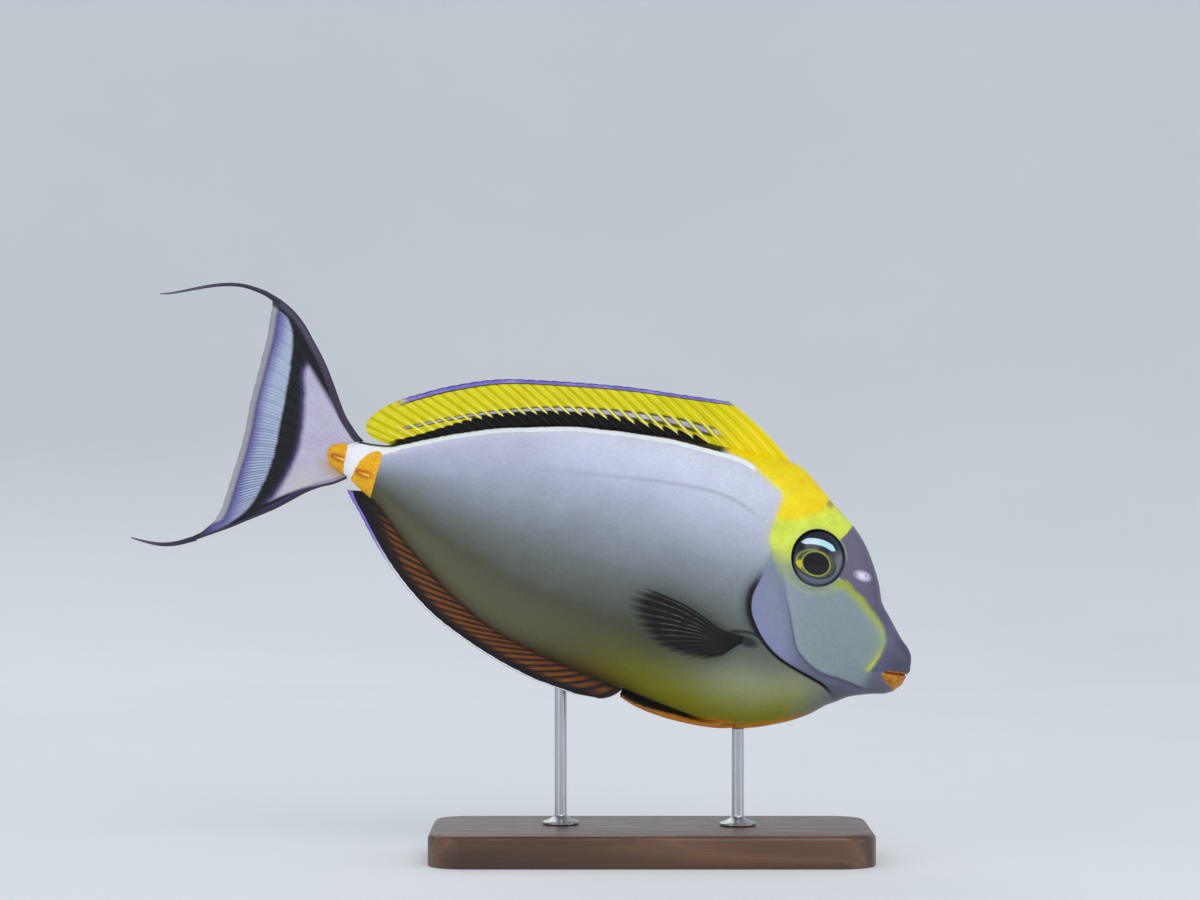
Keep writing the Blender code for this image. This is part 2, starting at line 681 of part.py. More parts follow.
def median_fin(name, rays, edge, outward, count, spines, bow):
    """Dorsal or anal fin: rays in the middle plane, from the body's edge to the fin's margin."""
    roots = [ray[0] for ray in rays]
    shares = [(root - roots[0]) / (roots[-1] - roots[0]) for root in roots]
    tip_backs = [(share, ray[1]) for share, ray in zip(shares, rays)]
    tip_heights = [(share, ray[2]) for share, ray in zip(shares, rays)]
    grid = []
    for share, on_ridge, ray in ridge_places(count):
        back = roots[0] + share * (roots[-1] - roots[0])
        root = Vector((-back, 0.0, table_value(edge, back)))
        ahead = Vector((-back + 1, 0.0, table_value(edge, back - 1)))
        behind = Vector((-back - 1, 0.0, table_value(edge, back + 1)))
        way = (behind - ahead).normalized()
        root += GAP * outward * Vector((way.z, 0.0, -way.x))
        tip = Vector((-table_value(tip_backs, share), 0.0, table_value(tip_heights, share)))
        span = tip - root
        across = outward * Vector((span.z, 0.0, -span.x)).normalized()
        rise = SPINE_RISE if ray < spines else RAY_RISE
        column = []
        for row in FIN_ROWS:
            bend = bow * (1 - share) ** 4 * 4 * row * (1 - row)
            point = root + row * span + bend * across
            column.append((point, half_thickness(row, on_ridge, rise), Vector((0, 1, 0))))
        grid.append(column)
    return fin_solid(name, grid)


def make_tail_lobe(name, upper):
    """Upper or lower lobe of the tail fin, from the end of the stalk to the hind margin."""
    corner = {
        "upper": (Vector(TAIL_ROOT[0]), Vector(TAIL_MARGIN[0])),
        "lower": (Vector(TAIL_ROOT[-1]), Vector(TAIL_MARGIN[-1])),
    }
    middle = 0.5
    parting = (middle, 0.0, -1)
    places = [place for place in ridge_places(TAIL_COUNT) if (place[0] < middle) == upper]
    places = places + [parting] if upper else [parting] + places
    grid = []
    for share, on_ridge, ray in places:
        root, tip = Vector(along(TAIL_ROOT, share)), Vector(along(TAIL_MARGIN, share))
        outer = ray in (0, TAIL_COUNT - 1)
        column = []
        for row in TAIL_ROWS:
            flat = root.lerp(tip, row)
            above = Vector(along(TAIL_UPPER_EDGE, row)) - corner["upper"][0].lerp(corner["upper"][1], row)
            below = Vector(along(TAIL_LOWER_EDGE, row)) - corner["lower"][0].lerp(corner["lower"][1], row)
            flat += (1 - share) * above + share * below
            if share == middle:
                flat.y += GAP / 2 if upper else -GAP / 2
            half = half_thickness(row, on_ridge, SPINE_RISE if outer else RAY_RISE)
            column.append((Vector((flat.x, 0.0, flat.y)), half, Vector((0, 1, 0))))
        grid.append(column)
    return fin_solid(name, grid)


def make_streamer(name, stations, half):
    """Thread that draws out one lobe of the tail fin, from its (x, z, half width) stations."""
    grid = []
    for index, (x, z, width) in enumerate(stations):
        before, after = stations[max(index - 1, 0)], stations[min(index + 1, len(stations) - 1)]
        way = Vector((after[0] - before[0], 0.0, after[1] - before[1])).normalized()
        across = Vector((way.z, 0.0, -way.x))
        if index == 0:
            across = Vector((0, 0, 1))
            x -= GAP
        share = index / (len(stations) - 1)
        thick = half * (1 - 0.5 * share)
        column = []
        for place, fullness in ((-1, 0.55), (0, 1.0), (1, 0.55)):
            column.append((Vector((x, 0.0, z)) + place * width * across, thick * fullness, Vector((0, 1, 0))))
        grid.append(column)
    return fin_solid(name, grid)


def make_pectoral(name, side):
    """Pectoral fin, held out from the flank and cut to the skin at its root."""
    spread = math.tan(math.radians(PECTORAL_SPREAD_DEG))
    start = PECTORAL_ROOT[0][0]
    hull = side_of_body(*PECTORAL_ROOT[1])
    normal = Vector((math.sin(math.radians(PECTORAL_SPREAD_DEG)), math.cos(math.radians(PECTORAL_SPREAD_DEG)), 0))
    grid = []
    for share, on_ridge, ray in ridge_places(PECTORAL_COUNT):
        root, tip = Vector(along(PECTORAL_ROOT, share)), Vector(along(PECTORAL_TIPS, share))
        rise = SPINE_RISE if ray == 0 else RAY_RISE
        column = []
        for row in FIN_ROWS:
            flat = root.lerp(tip, row)
            flat.y += (1 - share) * table_value(PECTORAL_BEND, row)
            out = hull + spread * (start - flat.x) - PECTORAL_ARCH * (1 - 4 * (row - 0.5) ** 2) * (share - 0.5) ** 2
            if row == 0:
                flat.x += PECTORAL_SINK
                out -= PECTORAL_SINK / 2
            half = half_thickness(row, on_ridge * ease(row, 0, 0.3), rise)
            half += (PECTORAL_ROOT_HALF - MEMBRANE_ROOT) * (1 - ease(row, 0, 0.3))
            point = Vector((flat.x, side * out, flat.y))
            column.append((point, half, Vector((side * normal.x, normal.y, 0))))
        grid.append(column)
    fin = fin_solid(name, grid)
    combine(fin, mesh_object("clearance", body_shape(GAP)), "DIFFERENCE")
    keep_largest(fin)
    return fin


def make_pelvic(name, side):
    """Pelvic fin folded back under the belly, cut to the skin at its root."""
    grid = []
    last = len(PELVIC_STATIONS) - 1
    for index, (x, upper, lower, y) in enumerate(PELVIC_STATIONS):
        column = []
        for place, row in enumerate(PELVIC_ROWS):
            z = upper + row * (lower - upper)
            half = (0.75 if index < 2 else 0.42) + (0.18 if place % 2 == 0 else 0.0)
            half *= 1 - 0.45 * index / last
            out = y + PELVIC_SLANT * (upper - z)
            column.append((Vector((x, side * out, z)), half, Vector((0, 1, 0))))
        grid.append(column)
    fin = fin_solid(name, grid)
    combine(fin, mesh_object("clearance", body_shape(GAP)), "DIFFERENCE")
    keep_largest(fin)
    return fin


def make_keel(name, place, side):
    """Bony keel on one side of the tail stalk, cut to the skin at its root."""
    x, z = place
    hull = side_of_body(x, z)
    shape = bmesh.new()
    outline = [(x + dx, hull + out) for dx, out in KEEL_OUTLINE]
    middle = [sum(point[axis] for point in outline) / len(outline) for axis in range(2)]
    edge = [shape.verts.new((px, side * py, z)) for px, py in outline]
    inner = {}
    for sign in (-1, 1):
        inner[sign] = [
            shape.verts.new((px + 0.3 * (middle[0] - px), side * (py + 0.3 * (middle[1] - py)), z + sign * KEEL_HALF))
            for px, py in outline
        ]
    count = len(outline)
    for sign in (-1, 1):
        for index in range(count):
            following = (index + 1) % count
            shape.faces.new((edge[index], edge[following], inner[sign][following], inner[sign][index]))
        shape.faces.new(inner[sign])
    keel = mesh_object(name, shape)
    combine(keel, mesh_object("clearance", body_shape(GAP)), "DIFFERENCE")
    keep_largest(keel)
    return keel


def make_base():
    """Rounded wooden plate of the stand, with its underside on the floor."""
    shape = bmesh.new()
    ring = []
    for corner_x, corner_y, start in ((1, 1, 0), (-1, 1, 90), (-1, -1, 180), (1, -1, 270)):
        centre_x = corner_x * (BASE_LENGTH / 2 - BASE_CORNER)
        centre_y = corner_y * (BASE_WIDTH / 2 - BASE_CORNER)
        for step in range(CORNER_STEPS + 1):
            angle = math.radians(start + 90 * step / CORNER_STEPS)
            ring.append(
                shape.verts.new(
                    (centre_x + BASE_CORNER * math.cos(angle), centre_y + BASE_CORNER * math.sin(angle), 0)
                )
            )
    face = shape.faces.new(ring)
    walls = bmesh.ops.extrude_face_region(shape, geom=[face])
    top = [item for item in walls["geom"] if isinstance(item, bmesh.types.BMVert)]
    bmesh.ops.translate(shape, vec=(0, 0, BASE_HEIGHT), verts=top)
    rim = [edge for edge in shape.edges if all(vert in top for vert in edge.verts)]
    bmesh.ops.bevel(shape, geom=rim, offset=BASE_EDGE, segments=3, profile=0.5, affect="EDGES", material=-1)
    return mesh_object("stand_base", shape)


def make_rod(name, place, top, clearance):
    """Turned rod with its foot, standing on the base and cut to the skin of the fish at its upper end."""
    x, y = place
    low = BASE_HEIGHT + GAP
    profile = (
        (0, low), (FOOT_RADIUS, low), (FOOT_RADIUS, low + FOOT_HEIGHT - 0.8), (FOOT_RADIUS - 0.8, low + FOOT_HEIGHT),
        (ROD_RADIUS + 1.2, low + FOOT_HEIGHT), (ROD_RADIUS, low + FOOT_HEIGHT + 1.2), (ROD_RADIUS, top), (0, top),
    )
    shape = bmesh.new()
    verts = [shape.verts.new((radius, 0, height)) for radius, height in profile]
    edges = [shape.edges.new(pair) for pair in zip(verts, verts[1:])]
    bmesh.ops.spin(
        shape,
        geom=verts + edges,
        cent=(0, 0, 0),
        axis=(0, 0, 1),
        angle=2 * math.pi,
        steps=ROD_STEPS,
        use_merge=True,
        use_duplicate=False,
    )
    bmesh.ops.remove_doubles(shape, verts=shape.verts, dist=0.001)
    bmesh.ops.translate(shape, vec=(x, y, 0), verts=shape.verts)
    rod = mesh_object(name, shape)
    combine(rod, clearance, "DIFFERENCE")
    keep_largest(rod)
    return rod


def posed_clearance(pose):
    """Body of the fish grown by the gap and posed, which trims the rods."""
    grown = mesh_object("clearance", body_shape(GAP))
    grown.data.transform(pose)
    return grown


def main():
    """Builds the fish in its own frame, poses it over the base and adds the rods."""
    for piece in list(bpy.data.objects):
        bpy.data.objects.remove(piece)

    pose = bpy.data.objects.new("fish_pose", None)
    bpy.context.scene.collection.objects.link(pose)
    pose.location = (SNOUT_X * MM, 0.0, SNOUT_Z * MM)
    pose.rotation_euler = (0.0, math.radians(NOSE_DOWN_DEG), 0.0)
    turn = Matrix.Translation(pose.location) @ Matrix.Rotation(math.radians(NOSE_DOWN_DEG), 4, "Y")

    flesh = {
        "head": (make_head(), srgb(122, 133, 140)),
        "trunk": (make_trunk(), srgb(122, 128, 130)),
        "tail_stalk": (make_tail_stalk(), srgb(222, 200, 150)),
    }
    for name, (piece, colour) in flesh.items():
        dress(piece, finish(name, colour, 0.45), pose)

    dorsal = median_fin("dorsal_fin", DORSAL_RAYS, BODY_TOP, 1, DORSAL_COUNT, DORSAL_SPINES, DORSAL_BOW)
    dress(dorsal, finish("dorsal_fin", srgb(208, 200, 20), 0.5), pose)
    anal = median_fin("anal_fin", ANAL_RAYS, BODY_BOTTOM, -1, ANAL_COUNT, ANAL_SPINES, ANAL_BOW)
    dress(anal, finish("anal_fin", srgb(160, 82, 18), 0.5), pose)
    for name, upper in (("tail_fin_upper", True), ("tail_fin_lower", False)):
        dress(make_tail_lobe(name, upper), finish(name, srgb(176, 178, 212), 0.45), pose)
    threads = (("tail_streamer_upper", UPPER_STREAMER), ("tail_streamer_lower", LOWER_STREAMER))
    for name, stations in threads:
        dress(make_streamer(name, stations, STREAMER_HALF), finish(name, srgb(72, 62, 88), 0.5), pose)

    for word, side in (("right", -1), ("left", 1)):
        name = "pectoral_fin_" + word
        dress(make_pectoral(name, side), finish(name, srgb(52, 56, 58), 0.45), pose)
        name = "pelvic_fin_" + word
        dress(make_pelvic(name, side), finish(name, srgb(140, 84, 24), 0.5), pose)
        name = "keel_front_" + word
        dress(make_keel(name, FRONT_KEEL, side), finish(name, srgb(236, 168, 20), 0.4), pose)
        name = "keel_rear_" + word
        dress(make_keel(name, REAR_KEEL, side), finish(name, srgb(236, 168, 20), 0.4), pose)
        eye = eyeball("eye_" + word)
        dress(eye, finish("eye_" + word, srgb(70, 60, 30), 0.08), pose)
        eye.matrix_local = in_metres(eye_place(side))

    dress(make_base(), finish("stand_base", srgb(74, 48, 32), 0.4))
    front = make_rod("stand_rod_front", FRONT_ROD, 70.0, posed_clearance(turn))
    rear = make_rod("stand_rod_rear", REAR_ROD, 100.0, posed_clearance(turn))
    for rod in (front, rear):
        dress(rod, finish(rod.name, srgb(190, 192, 196), 0.28, 1.0))


main()
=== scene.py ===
"""Looks of a life-size display model of an elegant unicornfish, held by two rods on a small wooden base.

Sizes of the fish are in millimetres in its own frame: x runs from the tail to the snout, y to its left side and
z to its back. A place behind the snout is given as a distance back. Finished pieces are in metres, in the row frame.
"""

import logging
import math
from collections.abc import Sequence
from dataclasses import dataclass
from enum import Enum
from functools import cached_property, reduce

import bmesh
import bpy
import numpy as np
from mathutils import Matrix, Vector

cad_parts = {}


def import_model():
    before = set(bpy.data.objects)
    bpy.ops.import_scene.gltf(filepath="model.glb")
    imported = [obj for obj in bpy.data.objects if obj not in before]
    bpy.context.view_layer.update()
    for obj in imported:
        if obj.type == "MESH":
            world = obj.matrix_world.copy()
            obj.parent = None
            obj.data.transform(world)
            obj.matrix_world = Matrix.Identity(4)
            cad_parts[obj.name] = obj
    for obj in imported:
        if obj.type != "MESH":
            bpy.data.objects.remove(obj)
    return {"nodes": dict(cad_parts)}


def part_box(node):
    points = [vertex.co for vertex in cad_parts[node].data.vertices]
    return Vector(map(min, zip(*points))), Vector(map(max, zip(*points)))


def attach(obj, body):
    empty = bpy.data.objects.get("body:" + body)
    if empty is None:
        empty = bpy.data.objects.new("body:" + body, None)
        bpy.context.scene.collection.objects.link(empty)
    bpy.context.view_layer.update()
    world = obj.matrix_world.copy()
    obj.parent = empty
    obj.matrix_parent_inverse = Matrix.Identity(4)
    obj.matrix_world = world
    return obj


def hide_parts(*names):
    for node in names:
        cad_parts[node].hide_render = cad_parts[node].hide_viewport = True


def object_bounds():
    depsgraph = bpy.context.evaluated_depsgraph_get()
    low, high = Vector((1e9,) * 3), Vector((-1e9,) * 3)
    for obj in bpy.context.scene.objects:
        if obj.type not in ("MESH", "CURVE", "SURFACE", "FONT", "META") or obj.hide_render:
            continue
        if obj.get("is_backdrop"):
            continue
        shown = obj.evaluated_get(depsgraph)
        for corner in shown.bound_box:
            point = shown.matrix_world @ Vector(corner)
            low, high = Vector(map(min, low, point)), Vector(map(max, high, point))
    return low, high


LOG = logging.getLogger("unicornfish")

Table = Sequence[Sequence[float]]
BMesh = bmesh.types.BMesh
Mesh = bpy.types.Mesh
NodeOutputs = bpy.types.NodeOutputs
NodeTree = bpy.types.NodeTree
Object = bpy.types.Object
Socket = bpy.types.NodeSocket
Value = Socket | float | str
Colour = tuple[float, float, float]

MM = 0.001
NOSE_DOWN = math.radians(20.0)
SNOUT_PLACE = (0.111, 0.0, 0.082)


class Side(Enum):
    """Side of the fish, as the sign of y."""

    RIGHT = -1
    LEFT = 1


def pose() -> Matrix:
    """Placing of the fish in the row frame: nose down, from millimetres to metres."""
    return Matrix.Translation(SNOUT_PLACE) @ Matrix.Rotation(NOSE_DOWN, 4, "Y") @ Matrix.Scale(MM, 4)


def ease(value: np.ndarray | float, low: float, high: float) -> np.ndarray:
    """Smooth step of values from 0 at low to 1 at high."""
    share = np.clip((np.asarray(value, float) - low) / (high - low), 0.0, 1.0)
    return share * share * (3 - 2 * share)


def bump(value: np.ndarray, width: np.ndarray | float) -> np.ndarray:
    """Smooth bell of height 1 round zero, of about that half width."""
    return np.exp(-((value / width) ** 2))


def rows(*columns: np.ndarray | float) -> np.ndarray:
    """Rows of the given columns, where a number stands for a whole column."""
    return np.stack(np.broadcast_arrays(*columns), axis=1)


def crossways(way: np.ndarray) -> np.ndarray:
    """Ways of length 1 square to the given ones, seen from the side."""
    return rows(way[:, 1], -way[:, 0]) / np.linalg.norm(way, axis=1)[:, None]


def cubic(values: np.ndarray, slopes: np.ndarray, index: np.ndarray, span: np.ndarray, t: np.ndarray) -> np.ndarray:
    """Smooth run from one given value to the next.

    Args:
        values: given values.
        slopes: slopes at them.
        index: number of the value that each run starts from.
        span: length of each run.
        t: share of the run.

    Returns:
        Value on each run.
    """
    start = values[index] * (1 + 2 * t) * (1 - t) ** 2 + slopes[index] * span * t * (1 - t) ** 2
    end = values[index + 1] * t * t * (3 - 2 * t) + slopes[index + 1] * span * t * t * (t - 1)
    return start + end


def read_table(table: Table, place: np.ndarray | float) -> np.ndarray:
    """Reads a smooth curve through (place, value) pairs that never overshoots them.

    Args:
        table: pairs in rising order of place.
        place: where to read it; beyond the ends the end values hold.

    Returns:
        Value of the curve at each place.
    """
    pairs = np.asarray(table, float)
    knots, values = pairs[:, 0], pairs[:, 1]
    gap = np.diff(knots)
    rise = np.diff(values) / gap
    slopes = np.concatenate([rise[:1], np.zeros(len(rise) - 1), rise[-1:]])
    same = rise[:-1] * rise[1:] > 0
    both = np.where(same, rise[:-1] + rise[1:], 1.0)
    slopes[1:-1] = np.where(same, 2 * rise[:-1] * rise[1:] / both, 0.0)
    at = np.clip(np.asarray(place, float), knots[0], knots[-1])
    index = np.clip(np.searchsorted(knots, at, side="right") - 1, 0, len(gap) - 1)
    span = gap[index]
    return cubic(values, slopes, index, span, (at - knots[index]) / span)


def along(points: Table, share: np.ndarray | float) -> np.ndarray:
    """Reads points of a smooth curve through given points.

    Args:
        points: points that the curve passes.
        share: shares of its length, from 0 to 1.

    Returns:
        One point for each share, in the last axis.
    """
    knots = np.asarray(points, float)
    gap = np.linalg.norm(np.diff(knots, axis=0), axis=1)
    length = np.concatenate([[0.0], np.cumsum(gap)])
    rise = np.diff(knots, axis=0) / gap[:, None]
    weight = (gap[1:] / (gap[:-1] + gap[1:]))[:, None]
    slopes = np.concatenate([rise[:1], rise[:-1] * weight + rise[1:] * (1 - weight), rise[-1:]])
    place = np.clip(np.asarray(share, float), 0.0, 1.0) * length[-1]
    index = np.clip(np.searchsorted(length, place, side="right") - 1, 0, len(gap) - 1)
    share = ((place - length[index]) / gap[index])[..., None]
    return cubic(knots, slopes, index, gap[index][..., None], share)


def smooth_line(points: Table, steps: int = 60) -> np.ndarray:
    """Smooth line of steps + 1 points through the given ones."""
    return along(points, np.linspace(0.0, 1.0, steps + 1))


def line_distance(x: np.ndarray, z: np.ndarray, line: np.ndarray) -> np.ndarray:
    """Signed distance of places seen from the side to a line.

    Args:
        x: lengthwise places.
        z: heights.
        line: points of the line in order.

    Returns:
        Distance to the line, above zero to the left of its way.
    """
    best = np.full(x.shape, 1e9)
    sign = np.ones(x.shape)
    for first, second in zip(line[:-1], line[1:]):
        step = second - first
        share = np.clip(((x - first[0]) * step[0] + (z - first[1]) * step[1]) / (step @ step), 0.0, 1.0)
        off_x, off_z = x - first[0] - share * step[0], z - first[1] - share * step[1]
        distance = np.hypot(off_x, off_z)
        nearer = distance < best
        best = np.where(nearer, distance, best)
        sign = np.where(nearer, np.sign(step[0] * off_z - step[1] * off_x), sign)
    return best * np.where(sign == 0, 1.0, sign)


def beside(x: np.ndarray, z: np.ndarray, table: Table) -> np.ndarray:
    """Signed distance of places seen from the side to the smooth line through a table's points."""
    return line_distance(x, z, smooth_line(table))


def inside_distance(x: np.ndarray, z: np.ndarray, outline: Table) -> np.ndarray:
    """Distance of places seen from the side to a closed outline, above zero inside it.

    Args:
        x: lengthwise places.
        z: heights.
        outline: corners of the outline in order.

    Returns:
        Signed distance of each place.
    """
    corners = np.asarray(outline, float)
    ring = np.concatenate([corners, corners[:1]])
    inside = np.zeros(x.shape, bool)
    for first, second in zip(ring[:-1], ring[1:]):
        crosses = (first[1] > z) != (second[1] > z)
        rise = second[1] - first[1]
        at = first[0] + (z - first[1]) / (rise if rise else 1.0) * (second[0] - first[0])
        inside ^= crosses & (x < at)
    distance = np.abs(line_distance(x, z, ring))
    return np.where(inside, distance, -distance)


def screen(red: float, green: float, blue: float) -> tuple[float, float, float, float]:
    """Linear colour of a screen colour given from 0 to 255."""
    channels = [c / 255 / 12.92 if c <= 10.3 else ((c / 255 + 0.055) / 1.055) ** 2.4 for c in (red, green, blue)]
    return (channels[0], channels[1], channels[2], 1.0)


@dataclass(frozen=True)
class BodyMeasures:
    """Outline and sections of the body, as tables over the distance back from the snout."""

    top: Table = (
        (-0.9, -1.6), (-0.7, 1.2), (-0.15, 3.55), (0.65, 5.5), (3, 8.1), (5, 9.5), (7.5, 11.3), (10, 13.5), (15, 18),
        (20, 22.5), (24, 29.5), (28.5, 35.8), (35, 43.2), (40, 47.4), (44, 50), (50, 53.2), (55, 55.9), (60, 59),
        (65, 62), (70, 64.6), (75, 66.2), (80, 66.4), (90, 65.3), (100, 63.8), (110, 62.1), (130, 59.2), (150, 55),
        (170, 49.7), (180, 46.5), (190, 42.5), (200, 38), (210, 33), (220, 27.5), (230, 21.3), (238, 16.4),
        (243, 13.9), (250, 12), (256, 10.9), (260, 8.5), (262, 7.8), (264.3, 7), (266, 5.6), (267, 4.1), (267.3, 3.2),
    )
    bottom: Table = (
        (-0.9, -3.1), (-0.7, -3.8), (-0.2, -5.2), (0.6, -7.4), (1.4, -9.6), (2.6, -11.6), (4, -12.6), (6, -14),
        (10, -15.5), (15, -17.8), (20, -20.5), (24, -24), (28, -27.4), (33, -33), (40, -38.8), (45, -42), (50, -45),
        (55, -47.5), (60, -49.6), (65, -50.6), (70, -51.3), (80, -51.8), (100, -51.2), (120, -50.4), (140, -49.5),
        (150, -49), (160, -48), (170, -46.5), (180, -44), (190, -40.3), (200, -36), (210, -30.5), (220, -25),
        (230, -18.5), (240, -11.8), (245, -9.7), (250, -7.7), (256, -5.2), (260, -4.2), (262, -3.6), (264.3, -2.7),
        (266, -1.2), (267, 0.9), (267.3, 2.2),
    )
    half_width: Table = (
        (-0.9, 0.8), (-0.7, 2.1), (-0.2, 3.5), (0.6, 4.6), (5, 7), (12, 9.6), (25, 13.5), (40, 16.5), (55, 18.5),
        (75, 21), (95, 22), (120, 22), (145, 20.5), (170, 17.5), (195, 13.8), (215, 10.6), (232, 7.8), (245, 6),
        (256, 5), (260, 4.3), (262, 3.8), (264.3, 3), (266, 2.1), (267, 1.1), (267.3, 0.5),
    )
    widest: Table = (
        (-0.9, -2.5), (10, -2), (25, 1), (45, 5), (80, 7), (140, 7), (200, 4), (245, 2.4), (267.3, 2.7),
    )
    power: Table = ((-0.9, 1.0), (30, 1.0), (70, 1.06), (150, 1.1), (240, 1.05), (267.3, 1.0))
    snout_tip: tuple[float, float] = (-0.9, -2.5)
    stalk_tip: tuple[float, float] = (267.3, 2.7)

    def side_at(self, x: np.ndarray | float, z: np.ndarray | float) -> np.ndarray:
        """Distance from the middle plane to the skin.

        Args:
            x: lengthwise places.
            z: heights.

        Returns:
            Half width of the body at each place.
        """
        back, z = -np.asarray(x, float), np.asarray(z, float)
        top, bottom = read_table(self.top, back), read_table(self.bottom, back)
        widest = read_table(self.widest, back)
        reach = np.where(z > widest, top - widest, widest - bottom)
        share = np.clip(np.abs(z - widest) / reach, 0.0, 1.0)
        return read_table(self.half_width, back) * (1 - share**2) ** (read_table(self.power, back) / 2)


BODY = BodyMeasures()


@dataclass(frozen=True)
class FaceMeasures:
    """Eye, gill cover, cheek edge, mouth and nostrils, as seen from the side."""

    gill_edge: Table = (
        (-77.5, 90), (-77.5, 66), (-77.3, 52), (-76.6, 40), (-72.9, 27), (-74.4, 15), (-75.4, 7), (-73.3, 0),
        (-70, -4.2), (-65.8, -8.2), (-60, -12), (-54, -14.5), (-45, -16.5), (-38, -17.7), (-32.5, -18.9),
        (-28, -21.2), (-22, -26.5), (-14, -36),
    )
    gill_lift: float = 0.9
    gill_reach: float = 20.0
    cheek_edge: Table = (
        (-66, 20), (-62, 13), (-57, 5), (-53, -2), (-49, -8), (-44, -11.3), (-38, -13.2), (-30, -13.8),
    )
    cheek_line: Table = ((-66, 21), *cheek_edge[1:6], (-40, -13), (-35, -14), (-26, -14), (-15, -14.5))
    eye_centre: tuple[float, float, float] = (-54.3, 12.9, 30.8)
    eye_radii: tuple[float, float, float] = (12.4, 6.4, 12.8)
    eye_up: float = math.radians(13.0)
    eye_forward: float = math.radians(10.5)
    upper_lip: Table = (
        (-10.4, 7.9, -4.5, 0.4), (-9.4, 7.8, -4.1, 0.9), (-7.8, 7.3, -3.5, 1.2), (-6, 6.6, -2.9, 1.5),
        (-4.2, 5.7, -2.2, 1.7), (-2.6, 4.6, -1.6, 1.85), (-1.4, 3.3, -1.1, 1.92), (-0.8, 1.7, -0.9, 1.93),
        (-0.6, 0, -0.8, 1.93),
    )
    lower_lip: Table = (
        (-10.9, 7.8, -6, 0.4), (-9.8, 7.6, -6.2, 1), (-8.4, 7, -6.5, 1.5), (-6.9, 6.2, -6.6, 1.95),
        (-5.4, 5.2, -6.7, 2.3), (-4.1, 4.1, -6.8, 2.5), (-3.1, 2.8, -6.8, 2.65), (-2.6, 1.4, -6.7, 2.7),
        (-2.4, 0, -6.7, 2.7),
    )
    mouth: Table = ((4, -3.2), (0, -3.3), (-3, -3.7), (-6, -4.3), (-9.6, -5.1))
    nostrils: Table = ((-31.4, 31.1, 0.5), (-35.9, 30.3, 0.4))
    lip_outline: Table = (
        (-11, -5.3), (-10.2, -7.4), (-8, -9.0), (-5, -10.6), (-2.9, -11.6), (2, -12), (2, -3.6), (-2, -3.7),
        (-6, -4.35), (-9.6, -5.0),
    )
    pectoral_line: Table = ((-64.5, -9.2), (-68, -8.4), (-72, -8.6), (-78, -10.5))

    def eye_place(self, side: Side) -> Matrix:
        """Placing of one eye, whose own y points out of the head on the left side.

        Args:
            side: side of the fish.

        Returns:
            Turn and place in the fish's own frame.
        """
        centre = Vector((self.eye_centre[0], side.value * self.eye_centre[1], self.eye_centre[2]))
        up = Matrix.Rotation(side.value * self.eye_up, 4, "X")
        forward = Matrix.Rotation(-side.value * self.eye_forward, 4, "Z")
        return Matrix.Translation(centre) @ forward @ up


FACE = FaceMeasures()


